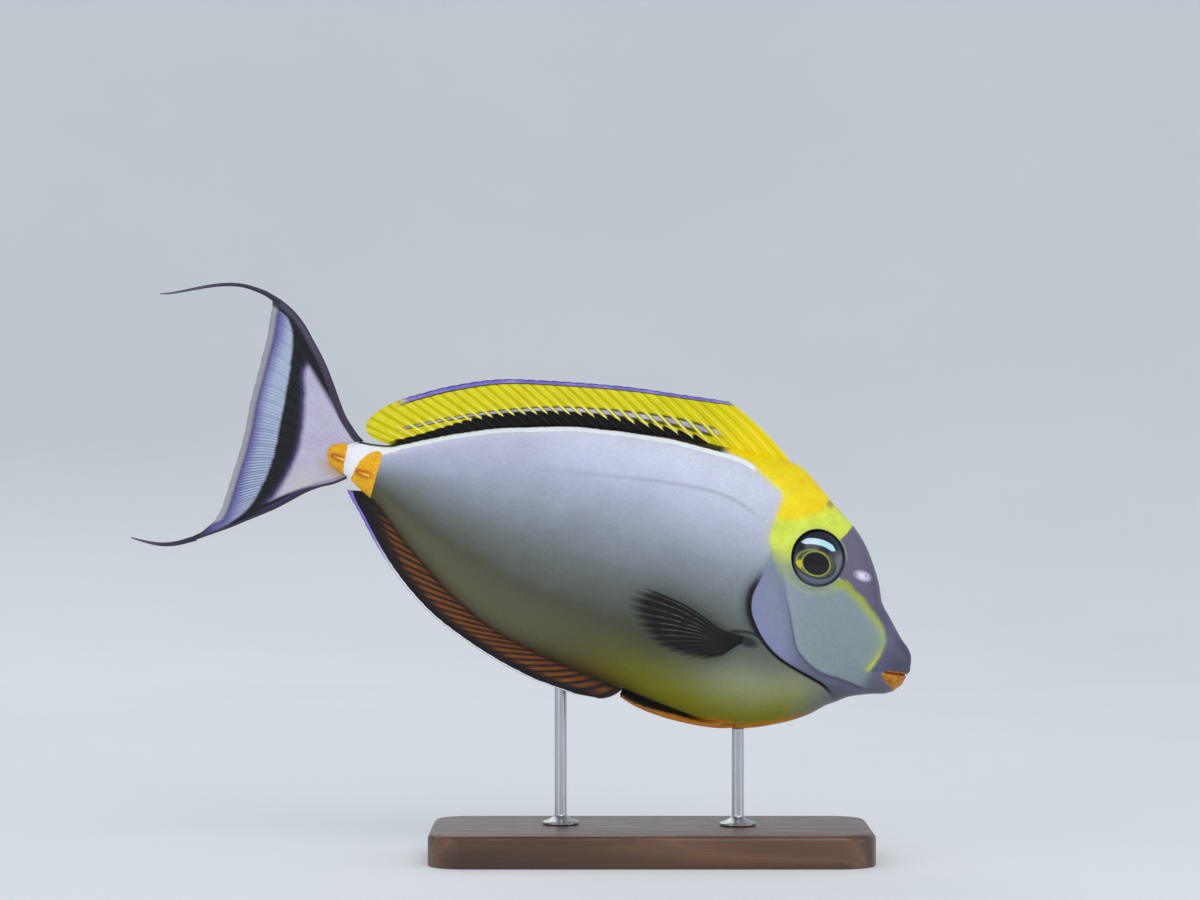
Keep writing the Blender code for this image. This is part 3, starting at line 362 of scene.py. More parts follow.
class Layout:
    """Lays out the nodes of one material or one shared effect."""

    def __init__(self, tree: NodeTree) -> None:
        """Starts on a node tree."""
        self.tree = tree

    def feed(self, socket: Socket, value: object) -> None:
        """Feeds an input.

        Args:
            socket: the input.
            value: a socket to link, or a constant, which for a colour is a screen colour.
        """
        if isinstance(value, Socket):
            self.tree.links.new(value, socket)
        else:
            socket.default_value = screen(*value) if socket.type == "RGBA" else value

    def node(
        self, kind: str, inputs: dict[str | int, object] | None = None, **settings: object
    ) -> bpy.types.Node:
        """Adds a node.

        Args:
            kind: its type.
            inputs: what feeds its inputs, by name or number.
            settings: its settings by name.

        Returns:
            The node.
        """
        made = self.tree.nodes.new(kind)
        for name, value in settings.items():
            setattr(made, name, value)
        for key, value in (inputs or {}).items():
            self.feed(made.inputs[key], value)
        return made

    def math(self, operation: str, *values: Value) -> Socket:
        """One step of arithmetic on up to three values."""
        return self.node("ShaderNodeMath", dict(enumerate(values)), operation=operation).outputs[0]

    def both(self, *masks: Value) -> Socket:
        """Product of several masks."""
        return reduce(lambda first, second: self.math("MULTIPLY", first, second), masks)

    def plus(self, first: Value, second: Value) -> Socket:
        """Sum of two values."""
        return self.math("ADD", first, second)

    def minus(self, first: Value, second: Value) -> Socket:
        """Difference of two values."""
        return self.math("SUBTRACT", first, second)

    def ratio(self, first: Value, second: Value) -> Socket:
        """One value as a share of another."""
        return self.math("DIVIDE", first, second)

    def fused(self, first: Value, factor: Value, added: Value) -> Socket:
        """First value times a factor, with the last one added."""
        return self.math("MULTIPLY_ADD", first, factor, added)

    def size(self, value: Value) -> Socket:
        """A value without its sign."""
        return self.math("ABSOLUTE", value)

    def rest(self, mask: Value) -> Socket:
        """What a mask leaves: 1 where it is 0."""
        return self.minus(1.0, mask)

    def step(self, value: Value, low: float, high: float, start: float = 0.0, end: float = 1.0) -> Socket:
        """Smooth step of a value, from start below low to end above high."""
        inputs = dict(enumerate((value, low, high, start, end)))
        return self.node("ShaderNodeMapRange", inputs, interpolation_type="SMOOTHSTEP").outputs[0]

    def hump(self, value: Value, centre: float, half: float, soft: float) -> Socket:
        """Mask of a band of that half width round a value, with soft sides."""
        return self.step(self.size(self.minus(value, centre)), half - soft, half + soft, 1, 0)

    def mix(self, share: Value, under: object, over: object) -> Socket:
        """Lays one colour over another as far as a share goes, each a socket or a screen colour."""
        return self.node("ShaderNodeMix", {0: share, 6: under, 7: over}, data_type="RGBA").outputs[2]

    def ramp(self, value: Value, *stops: tuple[float, Colour]) -> Socket:
        """Colour that runs through stops with a value.

        Args:
            value: what is read.
            stops: places with their screen colours.

        Returns:
            The colour.
        """
        made = self.node("ShaderNodeValToRGB", {0: value})
        bar = made.color_ramp
        while len(bar.elements) < len(stops):
            bar.elements.new(0.5)
        for element, (place, colour) in zip(bar.elements, stops):
            element.position = place
            element.color = screen(*colour)
        return made.outputs[0]

    def axis(self, vector: Socket, name: str) -> Socket:
        """One axis of a vector, by its letter."""
        return self.node("ShaderNodeSeparateXYZ", {0: vector}).outputs[name]

    def stretched(self, vector: Socket, scale: tuple[float, float, float], turn: float = 0.0) -> Socket:
        """A place turned about the side axis and stretched along each axis."""
        inputs = {"Vector": vector, "Rotation": (0, turn, 0), "Scale": scale}
        return self.node("ShaderNodeMapping", inputs, vector_type="POINT").outputs[0]

    def noise(self, vector: Socket, scale: Value, detail: float = 2.0, roughness: float = 0.5) -> Socket:
        """Cloudy pattern from 0 to 1."""
        inputs = {"Vector": vector, "Scale": scale, "Detail": detail, "Roughness": roughness}
        return self.node("ShaderNodeTexNoise", inputs).outputs["Fac"]

    def use(self, group: NodeTree, inputs: dict[str, object]) -> NodeOutputs:
        """Places a shared effect and feeds its named inputs."""
        return self.node("ShaderNodeGroup", inputs, node_tree=group).outputs


class Effects:
    """Effects that several finishes share, each built once as a group with named inputs and outputs."""

    def __init__(self) -> None:
        """Builds the groups."""
        self.marking = self._marking()
        self.mottle = self._mottle()
        self.scales = self._scales()
        self.rays = self._rays()

    @staticmethod
    def _group(name: str, inputs: dict[str, float | None], outputs: Sequence[str]) -> tuple[Layout, list[Socket]]:
        """Starts a group.

        Args:
            name: name of the effect.
            inputs: default of each input, None for a vector.
            outputs: names of the results.

        Returns:
            Layout of its nodes, and its inputs in order.
        """
        tree = bpy.data.node_groups.new(name, "ShaderNodeTree")
        for label, default in inputs.items():
            kind = "NodeSocketVector" if default is None else "NodeSocketFloat"
            made = tree.interface.new_socket(name=label, in_out="INPUT", socket_type=kind)
            if default is not None:
                made.default_value = default
        for label in outputs:
            tree.interface.new_socket(name=label, in_out="OUTPUT", socket_type="NodeSocketFloat")
        layout = Layout(tree)
        return layout, layout.node("NodeGroupInput").outputs[: len(inputs)]

    @staticmethod
    def _finish(layout: Layout, results: dict[str, Socket]) -> NodeTree:
        """Ends a group with its results."""
        layout.node("NodeGroupOutput", results)
        return layout.tree

    def _marking(self) -> NodeTree:
        """Mask of a marking whose edge wanders a little.

        Returns:
            Group whose mask is 1 where the distance is past the edge.
        """
        layout, (place, distance, edge, soft, wander, grain) = self._group(
            "marking_edge",
            {"Place": None, "Distance": 0.0, "Edge": 0.0, "Softness": 0.3, "Wander": 0.3, "Grain": 0.5},
            ["Mask"],
        )
        cloud = layout.minus(layout.noise(place, grain, 3), 0.5)
        past = layout.minus(layout.fused(cloud, layout.both(wander, 2), distance), edge)
        return self._finish(layout, {"Mask": layout.step(layout.ratio(past, layout.both(soft, 2)), -0.5, 0.5)})

    def _mottle(self) -> NodeTree:
        """Soft clouds and fine grain of living colour.

        Returns:
            Group whose results are each round zero.
        """
        layout, (place, cloud, fine) = self._group(
            "mottle", {"Place": None, "Cloud": 0.08, "Fine": 0.7}, ["Clouds", "Grain"]
        )
        clouds = layout.minus(layout.noise(place, cloud, 3, 0.55), 0.5)
        grain = layout.minus(layout.noise(place, fine, 2, 0.6), 0.5)
        return self._finish(layout, {"Clouds": clouds, "Grain": grain})

    def _scales(self) -> NodeTree:
        """Tiny rough scales.

        Returns:
            Group of their relief, and of a tone that differs from one to the next.
        """
        layout, (place, pitch) = self._group("fine_scales", {"Place": None, "Pitch": 0.85}, ["Relief", "Tone"])
        inputs = {"Vector": layout.stretched(place, (0.8, 1, 1.25), 0.35), "Scale": layout.ratio(1, pitch)}
        cells = layout.node("ShaderNodeTexVoronoi", inputs, feature="F1").outputs
        tone = layout.minus(layout.axis(cells["Color"], "X"), 0.5)
        return self._finish(layout, {"Relief": layout.step(cells["Distance"], 0.15, 0.75, 1, 0), "Tone": tone})

    def _rays(self) -> NodeTree:
        """Fin rays that split towards the margin.

        Returns:
            Group of the masks of the rays, of the lines midway and of the rays' joints.
        """
        layout, (phase, row, place, half, split, pitch) = self._group(
            "fin_rays",
            {"Phase": 0.0, "Row": 0.0, "Along": 0.0, "Half width": 0.12, "Split": 1.0, "Joint pitch": 1.1},
            ["Ray", "Midway", "Joint"],
        )
        off = layout.size(layout.minus(phase, layout.math("ROUND", phase)))
        arm = layout.size(layout.minus(off, layout.both(layout.step(row, 0.36, 0.62, 0, 0.14), split)))
        twig = layout.size(layout.minus(arm, layout.both(layout.step(row, 0.66, 0.92, 0, 0.075), split)))
        thin = layout.both(half, layout.step(row, 0.3, 1, 1, 0.45))
        ray = layout.step(layout.ratio(twig, thin), 0.6, 1.3, 1, 0)
        turns = layout.math("FRACT", layout.ratio(place, pitch))
        joint = layout.both(layout.step(turns, 0, 0.16, 1, 0), ray)
        return self._finish(layout, {"Ray": ray, "Midway": layout.step(off, 0.4, 0.48), "Joint": joint})


class Finish(Layout):
    """One finish. Its own class sets its gloss and lays its colours one over the other."""

    name = "finish"
    slot = ""
    roughness = 0.42
    coat = 0.0
    coat_roughness = 0.2
    specular = 0.3
    relief = 0.05
    cloud_scale = 0.12
    grain_scale = 0.9

    def __init__(self, effects: Effects) -> None:
        """Starts the material.

        Args:
            effects: effects that finishes share.
        """
        self.material = bpy.data.materials.new(self.name)
        self.material.use_nodes = True
        super().__init__(self.material.node_tree)
        self.effects = effects
        self.shader = self.tree.nodes["Principled BSDF"]
        self.colour: object = None
        self.carried: dict[str, Socket] = {}

    def build(self) -> bpy.types.Material:
        """Builds the material.

        Returns:
            The finished material.
        """
        self.set("Coat Weight", self.coat)
        self.set("Coat Roughness", self.coat_roughness)
        self.set("Specular IOR Level", self.specular)
        self.paint()
        self.set("Base Color", self.colour)
        self.set("Roughness", self.gloss())
        if self.relief:
            inputs = {"Strength": 1, "Distance": self.relief * MM, "Height": self.height()}
            self.set("Normal", self.node("ShaderNodeBump", inputs).outputs[0])
        return self.material

    def paint(self) -> None:
        """Lays the colours."""
        raise NotImplementedError

    def gloss(self) -> Value:
        """Roughness that varies with the grain."""
        return self.fused(self.mottle["Grain"], 0.25, self.roughness)

    def height(self) -> Socket:
        """Relief, which follows the grain."""
        return self.mottle["Grain"]

    def set(self, name: str, value: object) -> None:
        """Feeds one input of the shader."""
        self.feed(self.shader.inputs[name], value)

    def reading(self, name: str) -> Socket:
        """Value that the piece's own mesh carries under a name.

        Args:
            name: the name, where x and z are lengthwise place and height.

        Returns:
            The value.
        """
        if name not in self.carried:
            if name in ("x", "z"):
                self.carried[name] = self.axis(self.place, name.upper())
            else:
                self.carried[name] = self.node("ShaderNodeAttribute", attribute_name=name).outputs["Fac"]
        return self.carried[name]

    def feed(self, socket: Socket, value: object) -> None:
        """Feeds an input with a socket, a constant or the name of a reading."""
        super().feed(socket, self.reading(value) if isinstance(value, str) else value)

    def both(self, *masks: Value, **spans: tuple[float, ...]) -> Socket:
        """Product of masks and of smooth steps over the given spans of readings."""
        return super().both(*masks, *(self.step(name, *span) for name, span in spans.items()))

    def over(self, colour: object, *masks: Value, **spans: tuple[float, ...]) -> None:
        """Lays a colour over the ones before, as far as the masks and spans go."""
        self.colour = self.mix(self.both(*masks, **spans), self.colour, colour)

    def mark(
        self, distance: Value, edge: float = 0.0, soft: float = 0.25, wander: float = 0.3, grain: float = 0.5
    ) -> Socket:
        """Mask that is 1 past a marking's soft and wandering edge, in millimetres."""
        given = {"Place": self.place, "Distance": distance, "Edge": edge, "Softness": soft}
        return self.use(self.effects.marking, given | {"Wander": wander, "Grain": grain})["Mask"]

    def off(self, shift: float = 0.0) -> Socket:
        """Distance from the nearest ray, or from a line beside it: 0 on it and 0.5 midway."""
        phase = self.plus("phase", shift)
        return self.size(self.minus(phase, self.math("ROUND", phase)))

    @cached_property
    def place(self) -> Socket:
        """Place on the piece in its own millimetres, which its mesh carries."""
        return self.node("ShaderNodeAttribute", attribute_name="place").outputs["Vector"]

    @cached_property
    def here(self) -> Socket:
        """Place in the row frame, in metres."""
        return self.node("ShaderNodeTexCoord").outputs["Object"]

    def reach(self, centre: tuple[float, float], radii: tuple[float, float]) -> Socket:
        """Distance out from the centre of an oval seen from the side, as a share of its half sizes."""
        off = [self.ratio(self.minus(*pair), half) for *pair, half in zip("xz", centre, radii)]
        return self.math("SQRT", self.plus(*(self.both(share, share) for share in off)))

    @cached_property
    def forward_down(self) -> Socket:
        """How far a place lies forward and down."""
        return self.minus(self.both("x", 0.8), "z")

    @cached_property
    def mottle(self) -> NodeOutputs:
        """Soft clouds and fine grain of living colour, each round zero."""
        given = {"Place": self.place, "Cloud": self.cloud_scale, "Fine": self.grain_scale}
        return self.use(self.effects.mottle, given)

    @cached_property
    def cloud(self) -> Socket:
        """Soft clouds from about 0 to 1."""
        return self.fused(self.mottle["Clouds"], 0.9, 0.5)


class FinFinish(Finish):
    """Finish of a fin, whose relief follows its rays and their joints."""

    ray_half = 0.12

    @cached_property
    def rays(self) -> NodeOutputs:
        """Masks of the rays, of the lines midway and of the joints."""
        given = {"Phase": "phase", "Row": "row", "Along": "from_root", "Half width": self.ray_half, "Split": "split"}
        return self.use(self.effects.rays, given)

    def height(self) -> Socket:
        """Relief of rays, joints and grain."""
        rays = self.fused(self.rays["Joint"], -0.7, self.rays["Ray"])
        return self.plus(rays, self.mottle["Grain"])


@dataclass
class Maker:
    """Turns bmesh shapes into finished pieces of the model."""

    effects: Effects

    @staticmethod
    def shown(name: str, data: bpy.types.ID) -> Object:
        """Puts a mesh, light or camera into the scene.

        Args:
            name: name of its object.
            data: the mesh, light or camera.

        Returns:
            The object.
        """
        made = bpy.data.objects.new(name, data)
        bpy.context.scene.collection.objects.link(made)
        return made

    @staticmethod
    def piece(name: str, shape: BMesh) -> Object:
        """Makes a piece.

        Args:
            name: its name.
            shape: its shape, which is used up.

        Returns:
            The piece's object.
        """
        mesh = bpy.data.meshes.new(name)
        shape.to_mesh(mesh)
        shape.free()
        return Maker.shown(name, mesh)

    @staticmethod
    def turned(profile: Sequence[tuple[float, float]], steps: int) -> BMesh:
        """Shape turned about the upright axis.

        Args:
            profile: (radius, height) points from the axis outwards.
            steps: parts of the turn.

        Returns:
            The shape, its poles closed.
        """
        shape = bmesh.new()
        points = [shape.verts.new((radius, 0.0, z)) for radius, z in profile]
        edges = [shape.edges.new(pair) for pair in zip(points[:-1], points[1:])]
        whole = {"cent": (0, 0, 0), "axis": (0, 0, 1), "angle": 2 * math.pi, "use_merge": True}
        bmesh.ops.spin(shape, geom=points + edges, steps=steps, **whole)
        bmesh.ops.remove_doubles(shape, verts=shape.verts, dist=0.0005)
        return shape

    @staticmethod
    def vectors(items: bpy.types.bpy_prop_collection, name: str) -> np.ndarray:
        """Reads vectors off a mesh.

        Args:
            items: what holds them, such as its vertices.
            name: name that they have there.

        Returns:
            One row for each item.
        """
        flat = np.empty(len(items) * 3, np.float32)
        items.foreach_get(name, flat)
        return flat.reshape(-1, 3).astype(float)

    def points(self, mesh: Mesh) -> np.ndarray:
        """Places of a mesh's vertices."""
        return self.vectors(mesh.vertices, "co")

    def normals(self, mesh: Mesh) -> np.ndarray:
        """Outward ways at a mesh's vertices."""
        return self.vectors(mesh.vertex_normals, "vector")

    @staticmethod
    def move(mesh: Mesh, points: np.ndarray) -> None:
        """Puts a mesh's vertices at new places."""
        mesh.vertices.foreach_set("co", points.astype(np.float32).ravel())
        mesh.update()

    @staticmethod
    def keep(mesh: Mesh, place: np.ndarray, readings: dict[str, np.ndarray]) -> None:
        """Writes what the materials read to a mesh.

        Args:
            mesh: mesh of the piece.
            place: place of each vertex in millimetres of its own frame.
            readings: further values of each vertex, by name.
        """
        vector = mesh.attributes.new("place", "FLOAT_VECTOR", "POINT")
        vector.data.foreach_set("vector", place.astype(np.float32).ravel())
        for name, values in readings.items():
            made = mesh.attributes.new(name, "FLOAT", "POINT")
            made.data.foreach_set("value", np.clip(values, -500, 500).astype(np.float32))

    @staticmethod
    def lift(shape: BMesh, faces: Sequence[bmesh.types.BMFace], height: float) -> list[bmesh.types.BMFace]:
        """Draws faces of a shape out upwards.

        Args:
            shape: the shape.
            faces: faces to draw out.
            height: how far.

        Returns:
            The new faces.
        """
        grown = bmesh.ops.extrude_face_region(shape, geom=faces)["geom"]
        upper = [item for item in grown if isinstance(item, bmesh.types.BMVert)]
        bmesh.ops.translate(shape, vec=(0.0, 0.0, height), verts=upper)
        return [item for item in grown if isinstance(item, bmesh.types.BMFace)]

    @staticmethod
    def bevel(shape: BMesh, edges: Sequence[bmesh.types.BMEdge], offset: float, segments: int) -> None:
        """Rounds edges of a shape off.

        Args:
            shape: the shape.
            edges: edges to round.
            offset: how far the rounding reaches.
            segments: faces across it.
        """
        bmesh.ops.bevel(
            shape, geom=edges, offset=offset, segments=segments, profile=0.5, affect="EDGES", material=-1,
            clamp_overlap=True,
        )

    def lay(
        self, mesh: Mesh, placed: np.ndarray, place: np.ndarray, readings: dict[str, np.ndarray]
    ) -> None:
        """Lays a mesh along the fish, writes what its finish reads and poses it.

        Args:
            mesh: mesh of the piece.
            placed: places of its vertices in the fish's own frame.
            place: places that its finish reads.
            readings: further values of each vertex, by name.
        """
        self.move(mesh, placed)
        self.keep(mesh, place, readings)
        self.pose(mesh)

    def pose(self, mesh: Mesh) -> None:
        """Brings a closed mesh from the fish's own frame into the row frame, its faces turned outwards."""
        mesh.transform(pose())
        self.outwards(mesh)

    @staticmethod
    def outwards(mesh: Mesh) -> None:
        """Turns a closed mesh's faces outwards.

        Args:
            mesh: the mesh.
        """
        shape = bmesh.new()
        shape.from_mesh(mesh)
        bmesh.ops.recalc_face_normals(shape, faces=shape.faces)
        shape.to_mesh(mesh)
        shape.free()

    def hand_over(
        self, piece: Object, finish: type[Finish], nodes: Sequence[str], sharp: float = 180.0
    ) -> None:
        """Dresses a piece and lets it stand for its nodes of the frame.

        Args:
            piece: the shaped piece, in metres in the row frame.
            finish: its finish.
            nodes: nodes of the frame that it replaces.
            sharp: angle in degrees past which an edge stays sharp.
        """
        piece.data.materials.append(finish(self.effects).build())
        piece.data.shade_smooth()
        if sharp < 180.0:
            piece.data.set_sharp_from_angle(angle=math.radians(sharp))
        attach(piece, "root")
        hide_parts(*nodes)
        LOG.info("%s: %d faces", piece.name, len(piece.data.polygons))


@dataclass(frozen=True)
class Markings:
    """Lines and outlines of the colours of head and body, seen from the side."""

    stripe: Table = (
        (-42, 24), (-38.5, 25), (-35, 22.8), (-30, 21), (-26, 18), (-21.5, 15.5), (-18, 12.8), (-15.5, 9.5),
        (-14.2, 6.5), (-14.5, 2.5), (-15.5, -2.5), (-16.8, -6.5),
    )
    mask: Table = (
        (-43.5, 70), (-43.5, 50), (-45, 46.5), (-47.6, 41.5), (-49.5, 37), (-48, 30), (-43.5, 26.6), (-38.5, 25.2),
        *stripe[2:11], (-16.5, -6), (-14, -7.5), (-11, -5.6), (-9.5, -4.9), (-6, -4.2), (-3, -3.7), (6, -3.2),
        (6, 70),
    )
    yellow: Table = (
        (-117, 80), (-113, 64.6), (-106, 61.0), (-98, 60.2), (-92.5, 58.6), (-87, 56.5), (-83, 54.5), (-78, 53),
        (-76.5, 50), (-77, 45), (-76.5, 40),
        (-77, 35), (-75.5, 30), (-72, 25), (-68, 20), (-62, 17), (-54, 15.5), (-47, 17), (-41, 21.5), (-36, 24),
        (-40, 32), (-42, 38), (-43.5, 43), (-43.5, 50), (-43.5, 80),
    )
    lime: Table = ((-40, 56), (-50, 55.5), (-56, 53.5), (-60, 49.5), (-65, 46), (-70, 43), (-78, 41), (-90, 40))
    crest: Table = (
        (-243, 12.4), (-238, 15), (-230, 20), (-220, 26), (-210, 31.5), (-200, 36.5), (-190, 40.4), (-180, 44.4),
        (-170, 48), (-160, 50.5), (-150, 53), (-140, 55), (-130, 57), (-120, 58), (-110, 58.9), (-103, 59.5),
        (-97, 59.3), (-90, 57.9),
    )
    lateral: Table = (
        (-78, 34), (-81, 37.2), (-86.5, 40.2), (-93, 42), (-103, 42.9), (-115, 41.6), (-130, 38.7), (-145, 35.1),
        (-165, 30), (-190, 23), (-215, 15), (-240, 7),
    )
    front_patch: Table = (
        (-244.3, 8.7), (-243.9, 4), (-243.7, 0), (-243, -12), (-254, -12), (-253.7, -3), (-253.3, -0.3),
        (-252.7, 2.7), (-251.7, 5), (-250, 7.7), (-247.5, 9.6), (-245, 9.7),
    )
    rear_patch: Table = (
        (-260, 8.3), (-259.2, 4), (-258.6, 0), (-257.7, -4.2), (-257.5, -9), (-272, -9), (-272, 3), (-267.3, 5.6),
        (-264, 7),
    )
    white: Table = (
        (-238.5, 13.6), (-238.7, 12.8), (-244, 9.2), (-249, 4), (-252, 0), (-254, -12), (-262, -12), (-272, -9),
        (-272, 12), (-258, 16), (-245, 17),
    )


MARKINGS = Markings()


@dataclass
class FishSkin(Maker):
    """One closed skin over head, trunk and tail stalk, so that no seam shows between them."""

    around: int = 160
    flank_crowding: float = 0.28
    spacing: Table = (
        (-0.9, 0.03), (-0.4, 0.14), (0.5, 0.3), (14, 0.36), (20, 0.7), (84, 0.75), (110, 1.4), (238, 1.25),
        (246, 0.6), (262, 0.45), (266.4, 0.2), (267.3, 0.08),
    )
    lid_rise: float = 0.85
    socket_depth: float = 4.5
    groove: float = 0.45

    def stations(self) -> np.ndarray:
        """Places the rings.

        Returns:
            Their distances back, from the snout's tip to the end of the stalk.
        """
        places = [BODY.snout_tip[0]]
        while places[-1] < BODY.stalk_tip[0]:
            places.append(places[-1] + float(read_table(self.spacing, places[-1])))
        places[-1] = BODY.stalk_tip[0]
        return np.asarray(places)

    def build(self) -> None:
        """Builds the skin."""
        stations = self.stations()
        piece = self.piece("fish_skin", self._shape(stations))
        mesh = piece.data
        base = self._placed(self.points(mesh), stations)
        self.move(mesh, base)
        self.outwards(mesh)
        rise, readings = self._features(base, self.normals(mesh))
        normals = self.normals(mesh)
        self.move(mesh, base + rise[:, None] * normals)
        self._soften_lips(mesh)
        self.keep(mesh, self.points(mesh), readings)
        mesh.transform(pose())
        self.hand_over(piece, SkinFinish, ("head", "trunk", "tail_stalk"))

    def _shape(self, stations: np.ndarray) -> BMesh:
        """Ball of rings and meridians, made finer where eye, nostrils and gill cover will lie.

        Args:
            stations: distances back of the rings.

        Returns:
            The ball, whose poles will be the snout and the end of the stalk.
        """
        shape = bmesh.new()
        bmesh.ops.create_uvsphere(shape, u_segments=self.around, v_segments=len(stations) - 1, radius=1.0)
        for cuts, wanted in ((2, self._near_eye), (1, self._near_edges)):
            ball = np.array([vertex.co for vertex in shape.verts])
            near = wanted(self._placed(ball, stations))
            shape.verts.ensure_lookup_table()
            edges = [edge for edge in shape.edges if near[edge.verts[0].index] and near[edge.verts[1].index]]
            bmesh.ops.subdivide_edges(shape, edges=edges, cuts=cuts, use_grid_fill=True)
            shape.verts.index_update()
        crowded = [face for face in shape.faces if len(face.verts) > 4]
        bmesh.ops.triangulate(shape, faces=crowded)
        return shape

    @staticmethod
    def _near_eye(points: np.ndarray) -> np.ndarray:
        """Picks out what lies round an eye or a nostril.

        Args:
            points: places on the body.

        Returns:
            Whether each lies there.
        """
        x, z = points[:, 0], points[:, 2]
        eye = np.hypot((x - FACE.eye_centre[0]) / 15.5, (z - FACE.eye_centre[2]) / 16.0) < 1
        nose = np.hypot((x + 34.5) / 5.5, (z - 30.4) / 3.5) < 1
        return eye | nose

    @staticmethod
    def _near_edges(points: np.ndarray) -> np.ndarray:
        """Whether places lie by the open part of the gill cover's edge."""
        x, z = points[:, 0], points[:, 2]
        return (np.abs(beside(x, z, FACE.gill_edge)) < 3.0) & (z < 32) & (x < -26)

    def _placed(self, ball: np.ndarray, stations: np.ndarray) -> np.ndarray:
        """Places on the body of the ball's vertices.

        Args:
            ball: vertices of the ball.
            stations: distances back of its rings.

        Returns:
            The same vertices on the plain body.
        """
        polar = np.arctan2(np.hypot(ball[:, 0], ball[:, 1]), ball[:, 2])
        ring = polar / math.pi * (len(stations) - 1)
        back = np.interp(ring, np.arange(len(stations)), stations)
        turn = np.arctan2(ball[:, 1], ball[:, 0])
        angle = turn + self.flank_crowding * np.sin(2 * turn)
        top, bottom = read_table(BODY.top, back), read_table(BODY.bottom, back)
        width, widest = read_table(BODY.half_width, back), read_table(BODY.widest, back)
        power = read_table(BODY.power, back)
        reach = np.where(np.cos(angle) > 0, top - widest, widest - bottom)
        z = widest + reach * np.cos(angle)
        y = width * np.sign(np.sin(angle)) * np.abs(np.sin(angle)) ** power
        placed = rows(-back, y, z)
        for tip, pole in ((BODY.snout_tip, polar < 1e-6), (BODY.stalk_tip, polar > math.pi - 1e-6)):
            placed[pole] = (-tip[0], 0.0, tip[1])
        return placed

    def _features(self, base: np.ndarray, normals: np.ndarray) -> tuple[np.ndarray, dict[str, np.ndarray]]:
        """Relief of head and body over the plain form, and what the skin's colours read.

        Args:
            base: places on the plain body.
            normals: outward ways there.

        Returns:
            Height of each vertex over the plain body, and the readings by name.
        """
        x, z = base[:, 0], base[:, 2]
        gill = beside(x, z, FACE.gill_edge)
        cheek = beside(x, z, FACE.cheek_line)
        ridge = np.abs(beside(x, z, FACE.cheek_edge))
        mouth = line_distance(x, z, np.asarray(FACE.mouth[::-1], float))
        open_gill = (1 - ease(z, 24, 33)) * ease(-x, 24, 40)
        near = np.clip(1 - np.abs(gill) / FACE.gill_reach, 0, 1) ** 2
        lift = FACE.gill_lift * near * (1 - ease(z, 16, 34)) * ease(-x, 26, 42)
        rise = lift * ease(gill, -0.35, 0.25)
        rise -= self.groove * bump(gill + 0.9, 0.7) * open_gill
        rise += 0.35 * bump(ridge, 1.3) * ease(-x, 28, 36) * (1 - ease(z, 12, 20))
        rise -= 0.22 * bump(cheek + 1.6, 0.9) * (1 - ease(z, 14, 21))
        eye, ring = self._eye_relief(base)
        rise += eye
        nostril = np.full(x.shape, 99.0)
        for place_x, place_z, radius in FACE.nostrils:
            off = np.hypot(x - place_x, z - place_z)
            rise += 0.28 * bump(off - radius - 0.5, 0.5) - 1.1 * bump(off / radius, 0.85) ** 2
            nostril = np.minimum(nostril, off - radius)
        spot = np.hypot((x + 32.8) / 4.4, (z - 30.7) / 2.3)
        rise += 0.7 * bump(np.hypot(x + 72.5, z + 13), 5.0)
        keel = np.full(x.shape, 99.0)
        for foot_x, foot_z in KEEL_SPOTS.values():
            keel = np.minimum(keel, np.hypot((x - foot_x) / 2.2, z - foot_z))
        for outline in (MARKINGS.front_patch, MARKINGS.rear_patch):
            rise += 0.14 * ease(inside_distance(x, z, outline), -0.2, 0.5)
        muzzle = (x > -14) & (z < 4)
        upper, lower = np.zeros(len(x)), np.zeros(len(x))
        upper[muzzle] = self._roll(base[muzzle], normals[muzzle], FACE.upper_lip)
        lower[muzzle] = self._roll(base[muzzle], normals[muzzle], FACE.lower_lip)
        rise += np.maximum(upper, lower)
        rise -= 1.5 * bump(mouth, 0.38) * ease(x, -10.3, -8.6)
        top, bottom = read_table(BODY.top, -x), read_table(BODY.bottom, -x)
        readings = {
            "gill": gill,
            "cheek": cheek,
            "mouth": mouth,
            "lower_lip": inside_distance(x, z, FACE.lip_outline),
            "fin_line": beside(x, z, FACE.pectoral_line),
            "eye_ring": ring,
            "nostril": nostril,
            "spot": spot,
            "keel": keel,
            "height": (z - bottom) / (top - bottom),
            "belly": z - bottom,
            "crown": top - z,
        }
        for name in ("stripe", "lime", "crest", "lateral"):
            readings[name] = beside(x, z, getattr(MARKINGS, name))
        for name in ("mask", "yellow", "front_patch", "rear_patch", "white"):
            readings[name] = inside_distance(x, z, getattr(MARKINGS, name))
        return rise, readings

    def _eye_relief(self, base: np.ndarray) -> tuple[np.ndarray, np.ndarray]:
        """Orbit of both eyes.

        Args:
            base: places on the plain body.

        Returns:
            Height of lid and socket over the plain body, and the distance out from the eye's rim.
        """
        rise, ring = np.zeros(len(base)), np.full(len(base), 99.0)
        size = FACE.eye_radii[0]
        for side in Side:
            inverse = np.array(FACE.eye_place(side).inverted())
            local = base @ inverse[:3, :3].T + inverse[:3, 3]
            share = np.hypot(local[:, 0] / FACE.eye_radii[0], local[:, 2] / FACE.eye_radii[2])
            share = np.where(base[:, 1] * side.value > 2, share, 9.0)
            ring = np.minimum(ring, (share - 1) * size)
            rise += self.lid_rise * bump((share - 0.985) * size, 1.15)
            rise -= 0.25 * bump((share - 1.17) * size, 1.4)
            rise -= (self.socket_depth + self.lid_rise) * (1 - ease(share, 0.85, 0.955))
        return rise, ring

